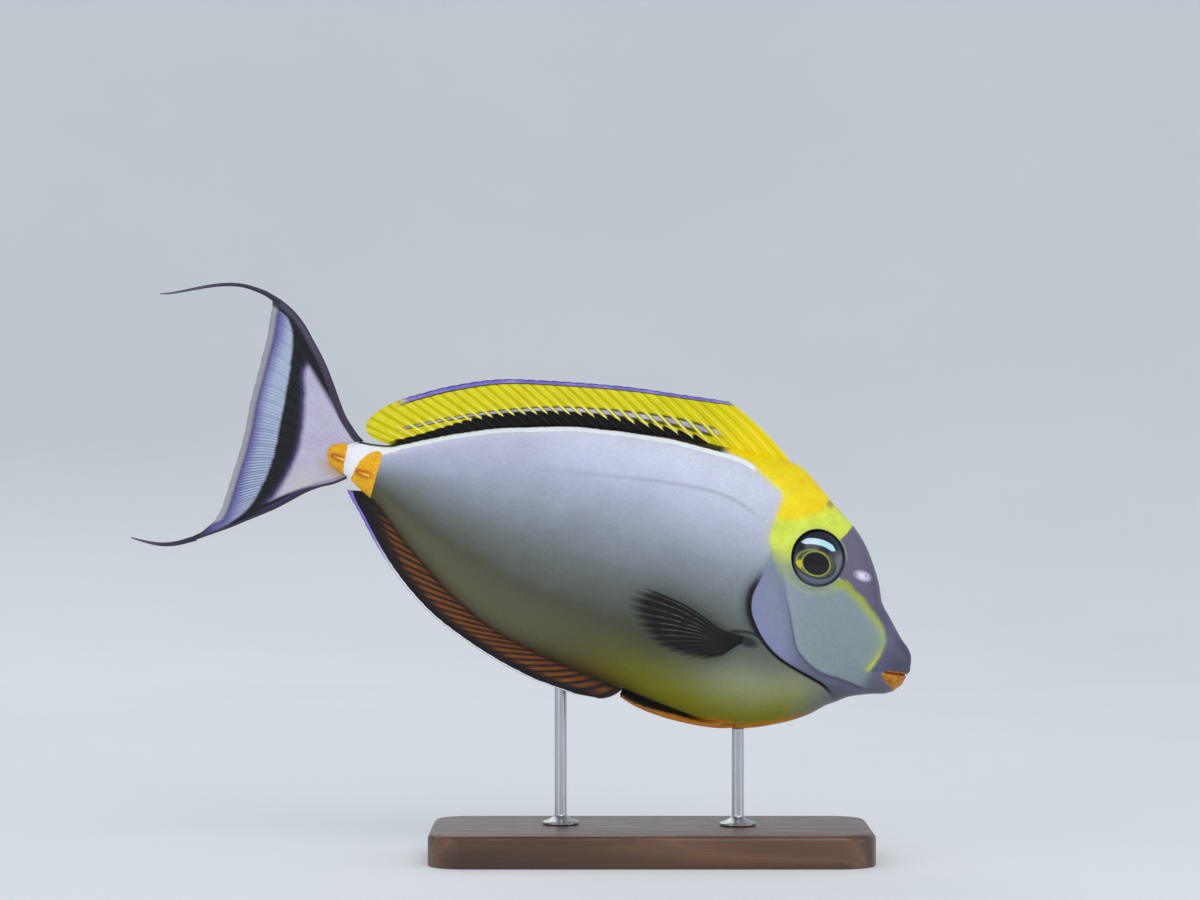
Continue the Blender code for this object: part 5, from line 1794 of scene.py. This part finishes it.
class TailFinish(FinFinish):
    """Tail web: lavender foot, black field, pale blue crescent with a violet fringe, and a clear margin."""

    name = "tail_fin"
    coat = 0.12

    def paint(self) -> None:
        """Lays field, foot, crescent and dark edges."""
        self.colour = self.mix(self.both(self.rays["Ray"], 0.5), (6, 6, 9), (22, 20, 28))
        self._foot()
        self._crescent()
        self._edges()

    def _foot(self) -> None:
        """Lavender foot of the fin, cream low down, with a violet haze round it."""
        step = self.step
        lavender = self.mix(self.cloud, (176, 168, 200), (208, 204, 222))
        lavender = self.mix(self.both(self.rays["Ray"], 0.07), lavender, (232, 228, 240))
        cream = self.both(0.6, z=(-3, -16), x=(-284, -272))
        lavender = self.mix(cream, lavender, (214, 204, 186))
        from_upper = self.minus("upper_edge", step("x", -262, -290, 1.6, 6.4))
        from_lower = self.minus("lower_edge", step("x", -262, -283, 0.6, 3.8))
        inside = self.both(step(from_upper, -0.6, 1.8), step(from_lower, -0.4, 1))
        self.over((84, 74, 136), self.mark("base_rear", -0.8, 1.8, 0.5, 0.35), inside, 0.7)
        self.over(lavender, self.mark("base_rear", 0.8, 1.5, 0.5, 0.35), inside)
        self.over((206, 172, 84), 0.6, from_root=(5.5, 0.5), z=(0, -4))

    def _crescent(self) -> None:
        """Pale blue crescent of fine lines, its violet fringe and the see-through margin behind it."""
        step = self.step
        lit = self.rest(self.mark("crescent_front", 0, 0.8, 0.5, 0.35))
        wave = self.both(self.mottle["Clouds"], 0.5)
        turns = self.math("FRACT", self.fused("phase", 5, wave))
        lines = step(self.size(self.minus(turns, 0.5)), 0.2, 0.42)
        pale = self.mix(self.cloud, (160, 176, 204), (192, 206, 226))
        pale = self.mix(self.both(lines, z=(34, -26, 0.2, 0.85)), pale, (92, 92, 138))
        pale = self.mix(self.both(self.rays["Midway"], 0.3), pale, (96, 100, 146))
        self.over(pale, lit)
        violet = self.mix(self.both(lines, 0.5), (100, 86, 172), (52, 44, 100))
        self.over(violet, lit, self.rest(self.mark("crescent_rear", 2.6, 3.2, 0.5, 0.35)), 0.9)
        here = self.both(step("upper_edge", 2.6, 4.8), step("lower_edge", 3, 5))
        self.over((58, 52, 88), here, margin=(4.6, 2))
        clear = self.both(here, margin=(4.4, 1.8))
        self.set("Alpha", self.fused(clear, -0.72, 1))

    def _edges(self) -> None:
        """Dark upper and lower edges with a painted lilac sheen along them."""
        step = self.step
        corner = self.both(x=(-301, -307), z=(-42, -47))
        low = self.math("MAXIMUM", step("lower_edge", 1.5, 0.8), corner)
        dark = self.mix(step(self.mottle["Grain"], -0.2, 0.2), (44, 40, 54), (66, 60, 78))
        self.over(dark, self.math("MAXIMUM", step("upper_edge", 3.5, 2.6), low))
        # painted sheen: lilac lines along the thickened upper and lower edges
        self.over((92, 84, 116), self.hump("upper_edge", 1.5, 0.7, 0.7), 0.6, x=(-272, -290))
        self.over((86, 78, 140), self.hump("lower_edge", 1.9, 0.5, 0.5), 0.5, x=(-292, -280))


@dataclass
class Streamer(Maker):
    """Thread that draws out one corner of the tail fin: a flat tapering roll along its stations."""

    end: str
    stations: Table
    half: float = 0.55
    steps: int = 90
    sides: int = 14
    overlap: float = 2.5

    def build(self) -> None:
        """Builds the thread."""
        shape = bmesh.new()
        ring = bmesh.ops.create_circle(shape, segments=self.sides, radius=1.0, cap_ends=True)
        faces = list({face for vertex in ring["verts"] for face in vertex.link_faces})
        for step in range(self.steps):
            faces = self.lift(shape, faces, 1.0)
            if step:
                bmesh.ops.delete(shape, geom=self._inner(shape, step), context="FACES_ONLY")
        piece = self.piece("streamer_" + self.end, shape)
        points = self.points(piece.data)
        share = points[:, 2] / self.steps
        line = along(self.stations, share)
        fore, aft = (along(self.stations, share + shift) for shift in (-0.01, 0.01))
        way = (aft - fore)[:, :2]
        way /= np.linalg.norm(way, axis=1)[:, None]
        middle = line[:, :2] + np.where(share < 1e-6, -self.overlap, 0.0)[:, None] * way
        flat = middle + (points[:, 0] * line[:, 2])[:, None] * crossways(way)
        placed = rows(flat[:, 0], self.half * (1 - 0.5 * share) * points[:, 1], flat[:, 1])
        self.lay(piece.data, placed, placed, {"share": share, "across": points[:, 0]})
        self.hand_over(piece, ThreadFinish, ("tail_streamer_" + self.end,), 60.0)

    @staticmethod
    def _inner(shape: BMesh, step: int) -> list[bmesh.types.BMFace]:
        """Cross walls that an extrusion left inside the roll."""
        return [face for face in shape.faces if all(abs(vertex.co.z - step) < 1e-4 for vertex in face.verts)]


class ThreadFinish(Finish):
    """Dark grey-violet threads, paler towards their tips."""

    name = "tail_thread"
    cloud_scale = 0.2
    grain_scale = 1.1

    def paint(self) -> None:
        """Lays the tone along the thread and painted shade along its rims."""
        share = self.fused(self.mottle["Clouds"], 0.3, "share")
        self.colour = self.ramp(share, (0, (52, 47, 62)), (0.45, (64, 57, 80)), (0.85, (98, 90, 118)))
        across = self.size("across")
        # painted shade at the rims of the round thread, which leaves its middle lighter
        self.over((46, 42, 60), self.step(across, 0.35, 0.8), 0.4)


@dataclass
class Pectoral(Fin):
    """Fan of the pectoral fin, folded back along the flank."""

    side: Side = Side.RIGHT
    root: Table = ((-70.4, -11), (-71, -11.6), (-71.8, -12.4), (-72.8, -13.4))
    tips: Table = (
        (-120.5, -4.9), (-124.6, -9), (-125.2, -13), (-122.5, -17.2), (-118.6, -20.6), (-114, -24), (-109, -27),
        (-103.5, -29.6), (-97.5, -31.6), (-91.5, -32), (-86.5, -29.8), (-82, -26.9),
    )
    bend: Table = ((0.0, 0.0), (0.25, -1.5), (0.45, 0.2), (0.65, 1.1), (0.85, 0.6), (1.0, 0.0))
    spread: float = math.radians(22.0)
    arch: float = 2.2
    root_thick: float = 0.95
    ruffle: float = 0.35

    def build(self) -> None:
        """Builds the fin."""
        side = self.side.name.lower()
        piece, grid = self.begin("pectoral_" + side)
        share, row = grid.share, grid.row
        root, tip = along(self.root, share), along(self.tips, share)
        phase = self.phase(share)
        ridge = self.ridge(phase, row)
        reach = row - 0.014 * (1 - ridge) * ease(row, 0.85, 1.0)
        flat = root + reach[:, None] * (tip - root)
        flat[:, 1] += (1 - share) * read_table(self.bend, row)
        hull = float(BODY.side_at(*self.root[1]))
        out = hull + math.tan(self.spread) * (self.root[0][0] - flat[:, 0])
        out -= self.arch * (1 - 4 * (row - 0.5) ** 2) * (share - 0.5) ** 2
        sunk = 1 - ease(row, 0.0, 0.08)
        flat[:, 0] += 1.5 * sunk
        out -= 3.4 * sunk
        out += self.ruffle * np.sin(phase * 1.9) * ease(row, 0.4, 1.0)
        way = (self.side.value * math.sin(self.spread), math.cos(self.spread), 0.0)
        half = self.half(phase, row) + (self.root_thick - self.root_half) * (1 - ease(row, 0, 0.3))
        length = np.linalg.norm(tip - root, axis=1)
        self.close(piece, grid, flat, self.side.value * out, half, {"from_root": row * length}, way)
        self.hand_over(piece, PectoralFinish, ("pectoral_fin_" + side,))


class PectoralFinish(FinFinish):
    """Smoky fin with black rays, pale lines between them near the tips and a web that light comes through."""

    name = "pectoral_fin"
    roughness = 0.5
    specular = 0.22
    ray_half = 0.16

    def paint(self) -> None:
        """Lays web and rays, and lets both fade towards the tips, the hind ones sooner."""
        step, ray = self.step, self.rays["Ray"]
        self.colour = self.mix(self.cloud, (22, 23, 25), (40, 41, 42))
        worn = step(self.noise(self.place, 0.22), 0.36, 0.6)
        upper = self.both(self.hump("row", 0.56, 0.24, 0.18), self.hump("phase", 3.6, 3.4, 1.6))
        self.over((140, 144, 134), self.rays["Midway"], upper, worn, 0.45)
        self.over((12, 13, 16), ray)
        self.over((34, 35, 38), row=(0.2, 0.05))
        hind = step("phase", 5, 15)
        past = self.minus("row", step(hind, 0, 1, 0.72, 0.42))
        web = step(past, 0, 0.27, 0.97, 0)
        rays = self.both(ray, step(past, 0.06, 0.30, 0.95, 0), step(hind, 0.2, 0.8, 1, 0.6))
        seen = self.math("MAXIMUM", self.math("MAXIMUM", web, rays), step("row", 0.3, 0.1))
        self.set("Alpha", seen)


@dataclass
class Pelvic(Fin):
    """Pelvic fin folded back under the belly."""

    side: Side = Side.RIGHT
    stations: Table = (
        (-62, -48.4, -49.6, 2.4), (-66, -49.2, -51.3, 3.6), (-70, -50.6, -52.5, 4.4), (-76, -51.8, -53.8, 5),
        (-84, -52.4, -55, 5.3), (-94, -52.4, -55.8, 5.6), (-102, -52.2, -55.7, 5.7), (-108, -52, -55, 5.5),
        (-112.8, -52, -53.8, 5.3),
    )
    slant: float = 0.7
    raised: float = 1.2
    tuck: float = 0.9
    bite: float = 0.5

    def build(self) -> None:
        """Builds the fin."""
        side = self.side.name.lower()
        piece, grid = self.begin("pelvic_" + side)
        line = along(self.stations, grid.share)
        upper = np.maximum(line[:, 1] + self.raised, read_table(BODY.bottom, -line[:, 0]) + self.tuck)
        z = upper + grid.row * (line[:, 2] - upper)
        touch = BODY.side_at(line[:, 0], upper) - self.bite
        y = self.side.value * (touch + (line[:, 3] + self.slant - touch) * ease(grid.row, 0.0, 0.8))
        lengthwise = np.round(grid.row * 4) / 4
        rib = bump((grid.row - lengthwise) * 4, 0.28)
        half = 0.3 + 0.35 * np.sqrt(np.clip(1 - (2 * grid.row - 1) ** 2, 0, 1)) * (1 - 0.5 * grid.share) + 0.12 * rib
        half = half * (1 - 0.6 * ease(grid.share, 0.9, 1.0))
        self.close(piece, grid, rows(line[:, 0], z), y, half, {"share": grid.share, "ridge": rib})
        self.hand_over(piece, PelvicFinish, ("pelvic_fin_" + side,), 70.0)


class PelvicFinish(Finish):
    """Black upper edge over an orange-brown blade with fine lengthwise rays."""

    name = "pelvic_fin"
    coat = 0.1
    relief = 0.04
    cloud_scale = 0.2

    def paint(self) -> None:
        """Lays blade, rays and black edge."""
        self.colour = self.ramp(self.cloud, (0.2, (132, 74, 8)), (0.5, (168, 100, 10)), (0.8, (194, 126, 18)))
        self.over((212, 146, 46), "ridge", 0.15)
        past = self.minus("row", self.step("share", 0.4, 1, 0.45, 0.85))
        self.over((14, 12, 14), self.rest(self.mark(past, 0, 0.1, 0.12)), share=(0.12, 0.45))

    def height(self) -> Socket:
        """Relief of rays and grain."""
        return self.plus("ridge", self.mottle["Grain"])


@dataclass
class Keels(Maker):
    """Four small sharp plates that stand out of the tail stalk, two a side."""

    outline: Table = (
        (-3.4, -1.4), (-3.2, 0.2), (-1.9, 1.4), (-0.3, 2.4), (1.4, 3.2), (3.2, 3.7), (2.7, 2.4), (2.5, 1.1),
        (2.8, -1.4),
    )
    half: float = 0.6
    rounding: float = 0.42

    def build(self) -> None:
        """Builds all four plates."""
        for end, spot in KEEL_SPOTS.items():
            for side in (Side.LEFT, Side.RIGHT):
                self._plate(f"keel_{end}_{side.name.lower()}", spot, side)

    def _plate(self, name: str, spot: tuple[float, float], side: Side) -> None:
        """Builds one plate.

        Args:
            name: node of the frame that it replaces.
            spot: middle of its foot, as lengthwise place and height.
            side: side of the fish.
        """
        shape = bmesh.new()
        curve = along(self.outline + (self.outline[0],), np.linspace(0, 1, 49))[:-1]
        face = shape.faces.new([shape.verts.new((x, y, -self.half)) for x, y in curve])
        self.lift(shape, [face], 2 * self.half)
        rims = [edge for edge in shape.edges if abs(edge.verts[0].co.z - edge.verts[1].co.z) < 1e-6]
        self.bevel(shape, rims, self.rounding, 4)
        piece = self.piece("peduncle_" + name, shape)
        points = self.points(piece.data)
        foot = float(BODY.side_at(spot[0], spot[1]))
        placed = rows(spot[0] + points[:, 0], side.value * (foot + points[:, 1]), spot[1] + points[:, 2])
        self.lay(piece.data, placed, placed, {"out": points[:, 1]})
        self.hand_over(piece, KeelFinish, (name,), 50.0)


class KeelFinish(Finish):
    """Orange horn with painted light and shade: paler towards the sharp edge and red-brown at the foot."""

    name = "keel"
    roughness = 0.34
    coat = 0.3
    relief = 0.04
    cloud_scale = 0.5
    grain_scale = 1.6

    def paint(self) -> None:
        """Lays the tone from foot to edge, painted shade at the foot and painted light at the edge."""
        out = self.fused(self.mottle["Grain"], 0.8, "out")
        self.colour = self.ramp(
            self.step(out, -0.6, 4),
            (0, (156, 60, 4)), (0.3, (208, 116, 0)), (0.7, (238, 164, 4)), (1, (250, 198, 60)),
        )


@dataclass
class Stand(Maker):
    """Plain display stand: a wooden base with rounded corners and two turned steel rods."""

    length: float = 190.0
    width: float = 90.0
    height: float = 14.0
    corner: float = 16.0
    edge: float = 2.5
    rod_radius: float = 2.6
    foot_radius: float = 8.0
    foot_height: float = 3.0
    steps: int = 72

    def build(self) -> None:
        """Builds base and rods."""
        self._base()
        for name in ("front", "rear"):
            self._rod(name)

    def _base(self) -> None:
        """Base: a board with round corners and eased edges."""
        shape = bmesh.new()
        bmesh.ops.create_cube(shape, size=1.0)
        bmesh.ops.scale(shape, vec=(self.length, self.width, self.height), verts=shape.verts)
        bmesh.ops.translate(shape, vec=(0.0, 0.0, self.height / 2), verts=shape.verts)
        upright = [edge for edge in shape.edges if abs(edge.verts[0].co.z - edge.verts[1].co.z) > 1]
        self.bevel(shape, upright, self.corner, 16)
        for height, size in ((self.height, self.edge), (0.0, 0.8)):
            rim = [edge for edge in shape.edges if all(abs(v.co.z - height) < 1e-4 for v in edge.verts)]
            self.bevel(shape, rim, size, 6)
        self._placed("base", shape, WoodFinish)

    def _rod(self, name: str) -> None:
        """One rod with its flared foot, up to the fish.

        Args:
            name: which of the two it is.
        """
        lowest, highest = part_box("stand_rod_" + name)
        tall = (highest.z - lowest.z) / MM - 0.2
        rim, foot, rod = self.foot_height, self.foot_radius, self.rod_radius
        profile = [(0.0, 0.0), (foot - 0.3, 0.0), (foot, 0.3), (foot, 0.9), (foot - 0.3, 1.2)]
        for share in np.linspace(0.1, 1, 9).tolist():
            profile.append((rod + (foot - 0.3 - rod) * (1 - share) ** 2.2, 1.2 + (rim + 0.4) * share))
        profile += [(rod, tall - 0.4), (rod - 0.4, tall), (0.0, tall)]
        shape = self.turned(profile, self.steps)
        self._placed("rod_" + name, shape, SteelFinish)

    def _placed(self, name: str, shape: BMesh, finish: type[Finish]) -> None:
        """Sets one part of the stand in its place.

        Args:
            name: name of its node, without stand_ before it.
            shape: the part in millimetres, its foot in the middle of the ground.
            finish: its finish.
        """
        lowest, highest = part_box("stand_" + name)
        middle = (lowest + highest) / 2
        bmesh.ops.scale(shape, vec=(MM, MM, MM), verts=shape.verts)
        bmesh.ops.translate(shape, vec=(middle.x, middle.y, lowest.z), verts=shape.verts)
        piece = self.piece("display_" + name, shape)
        self.outwards(piece.data)
        self.hand_over(piece, finish, ("stand_" + name,), 40.0)


class WoodFinish(Finish):
    """Oiled walnut with long grain."""

    name = "stand_wood"
    coat = 0.2
    coat_roughness = 0.15
    specular = 0.5
    relief = 0.12

    def paint(self) -> None:
        """Lays year rings and pores."""
        warp = self.noise(self.stretched(self.here, (9, 40, 40)), 1, 3)
        grain = self.stretched(self.here, (14, 160, 160))
        inputs = {"Vector": grain, "Scale": 0.16, "Distortion": 7, "Detail": 3, "Detail Scale": 1.2}
        rings = self.node("ShaderNodeTexWave", inputs, bands_direction="Y")
        tone = self.fused(warp, 0.45, self.both(rings.outputs["Fac"], 0.55))
        self.colour = self.ramp(
            tone, (0.2, (66, 42, 28)), (0.45, (92, 60, 38)), (0.65, (112, 76, 50)), (0.9, (84, 54, 34))
        )
        self.over((38, 24, 16), self.step(self.pores, 0.62, 0.74, 0, 0.55))

    def gloss(self) -> Socket:
        """Duller in the pores."""
        return self.step(self.pores, 0.3, 0.75, 0.36, 0.55)

    def height(self) -> Socket:
        """Open pores."""
        return self.step(self.pores, 0.75, 0.5)

    @cached_property
    def pores(self) -> Socket:
        """Fine pores along the board."""
        return self.noise(self.stretched(self.here, (60, 1400, 1400)), 1)


class SteelFinish(Finish):
    """Finely brushed steel."""

    name = "stand_steel"
    coat_roughness = 0.15
    specular = 0.5
    relief = 0.006

    def paint(self) -> None:
        """Lays the tone of the metal."""
        self.set("Metallic", 1)
        self.colour = self.ramp(self.brush, (0.3, (176, 178, 182)), (0.7, (196, 198, 202)))

    def gloss(self) -> Socket:
        """Uneven polish."""
        return self.step(self.brush, 0.3, 0.7, 0.25, 0.4)

    def height(self) -> Socket:
        """Brushed lines."""
        return self.brush

    @cached_property
    def brush(self) -> Socket:
        """Fine lines along the rod."""
        return self.noise(self.stretched(self.here, (1800, 1800, 30)), 1)


class PaperFinish(Finish):
    """Pale matt paper, lit a little from within."""

    name = "backdrop"
    roughness = 0.85
    specular = 0.5
    relief = 0.0

    def paint(self) -> None:
        """Lays the tone of the paper."""
        self.colour = self.ramp(self.noise(self.here, 2, 3), (0.3, (222, 225, 228)), (0.7, (227, 230, 233)))
        self.set("Emission Color", self.colour)
        self.set("Emission Strength", 0.2)

    def gloss(self) -> Value:
        """Even roughness."""
        return self.roughness


@dataclass
class Studio(Maker):
    """Pale seamless bowl, soft lights and the camera."""

    floor_radius: float = 1.3
    wall_radius: float = 3.6
    wall_height: float = 3.6
    distance: float = 1.6
    frame_width: float = 0.518
    sensor: float = 36.0
    centre: tuple[float, float] = (-0.02195, 0.1761)

    def build(self) -> None:
        """Builds the whole studio."""
        self._bowl()
        self._lights()
        self._camera()

    def _bowl(self) -> None:
        """Round floor that rises into a wall on all sides."""
        rise = self.wall_radius - self.floor_radius
        profile = [(0.0, 0.0), (self.floor_radius * 0.5, 0.0), (self.floor_radius, 0.0)]
        for step in range(1, 17):
            angle = math.pi / 2 * step / 16
            profile.append((self.floor_radius + rise * math.sin(angle), rise * (1 - math.cos(angle))))
        profile.append((self.wall_radius, self.wall_height))
        shape = self.turned(profile, 96)
        bmesh.ops.recalc_face_normals(shape, faces=shape.faces)
        bmesh.ops.reverse_faces(shape, faces=shape.faces)
        piece = self.piece("backdrop", shape)
        piece.data.shade_smooth()
        piece.data.materials.append(PaperFinish(self.effects).build())
        piece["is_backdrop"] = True

    def _lights(self) -> None:
        """Large soft key from above and in front, fill from both sides and a light from behind."""
        world = bpy.data.worlds.new("studio")
        world.use_nodes = True
        sky = world.node_tree.nodes["Background"].inputs
        sky["Color"].default_value = screen(226, 234, 244)
        sky["Strength"].default_value = 0.42
        bpy.context.scene.world = world
        for name, place, size, power in (
            ("key", (0.5, -1.5, 1.6), 1.4, 13.0),
            ("fill", (-1.3, -1.4, 0.5), 1.3, 4.6),
            ("back", (-0.5, 1.4, 1.2), 1.2, 4.0),
            ("snout", (1.7, -0.6, 0.5), 1.0, 3.6),
        ):
            light = bpy.data.lights.new(name, "AREA")
            light.shape = "DISK"
            light.size = size
            light.energy = power
            made = self.shown(name, light)
            aim = Vector((0.0, 0.0, 0.12)) - Vector(place)
            made.location = place
            made.rotation_mode = "QUATERNION"
            made.rotation_quaternion = aim.to_track_quat("-Z", "Y")
            made.visible_camera = False

    def _camera(self) -> None:
        """Camera level with the middle of the photograph's frame, square to the fish's side."""
        camera = bpy.data.cameras.new("camera")
        camera.sensor_width = self.sensor
        camera.lens = self.sensor * self.distance / self.frame_width
        camera.clip_start = 0.01
        camera.clip_end = 20.0
        made = self.shown("camera", camera)
        made.location = (self.centre[0], -self.distance, self.centre[1])
        made.rotation_euler = (math.pi / 2, 0.0, 0.0)
        bpy.context.scene.camera = made
        bpy.context.scene.view_settings.view_transform = "Standard"


DORSAL_RAYS: Table = (
    (77.3, 112, 81.7), (90, 122, 79.7), (100, 131, 77.8), (110, 140, 76), (125, 154, 73), (140, 168, 69.4),
    (160, 188, 63.6), (180, 208, 57), (200, 228, 46.4), (210, 238, 39.6), (220, 246, 33.6), (228, 252.3, 27),
    (235, 256, 19.4), (239, 254.6, 16), (241.5, 251.6, 14.2),
)
ANAL_RAYS: Table = (
    (112.5, 121, -58.1), (118, 134, -60.1), (126, 148, -60.1), (136, 161, -58.9), (148, 176, -56.2),
    (160, 189, -52.8), (172, 201, -48.8), (186, 215, -41.8), (200, 227.5, -33.6), (212, 237, -25.9),
    (224, 245.5, -18.1), (236, 251.5, -13.1), (246.5, 254, -10.6),
)
UPPER_STREAMER: Table = (
    (-311, 56.1, 1.25), (-315.5, 57.05, 1.1), (-320, 57.3, 0.95), (-325, 57.1, 0.85), (-330, 56.0, 0.8),
    (-335, 54.1, 0.75), (-340, 51.6, 0.7), (-345, 48.7, 0.62), (-350, 45.7, 0.52), (-355, 42.9, 0.4),
    (-358.6, 41.3, 0.22),
)
LOWER_STREAMER: Table = (
    (-310, -53.9, 1.15), (-313.5, -56.4, 1.05), (-317, -58.4, 0.95), (-321, -60, 0.85), (-325, -60.9, 0.7),
    (-330, -61.5, 0.5), (-334.5, -61.8, 0.22),
)
KEEL_SPOTS: dict[str, tuple[float, float]] = {"front": (-249.4, -1.4), "rear": (-261.8, 1.3)}


def build_fish(effects: Effects) -> None:
    """Builds the whole fish, from the skin to the smallest plate.

    Args:
        effects: effects that its finishes share.
    """
    FishSkin(effects).build()
    for side in Side:
        Eye(effects, side).build()
        Pectoral(effects, rays=16, columns_a_ray=10, rows=34, side=side).build()
        Pelvic(effects, rays=11, columns_a_ray=11, rows=16, side=side).build()
    MedianFin(effects, rays=34, spines=6, crowding=0.38, name="dorsal", table=DORSAL_RAYS).build()
    MedianFin(effects, rays=28, spines=2, name="anal", outward=-1.0, table=ANAL_RAYS, bow=1.3).build()
    TailFin(effects, rays=18, columns_a_ray=14, rows=56).build()
    Streamer(effects, "upper", UPPER_STREAMER).build()
    Streamer(effects, "lower", LOWER_STREAMER).build()
    Keels(effects).build()


def corners(box: tuple[Vector, Vector]) -> list[list[float]]:
    """Two corners of a box as plain lists."""
    return [[float(value) for value in corner] for corner in box]


def main() -> None:
    """Builds the model over its frame."""
    logging.basicConfig(level=logging.INFO, format="%(name)s: %(message)s")
    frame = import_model()
    LOG.info("frame holds %d nodes", len(frame["nodes"]))
    solids = corners(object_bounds())
    effects = Effects()
    build_fish(effects)
    Stand(effects).build()
    Studio(effects).build()
    shown = corners(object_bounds())
    LOG.info("box of the solids %s, of the dressed model %s", solids, shown)


if __name__ == "__main__":
    main()
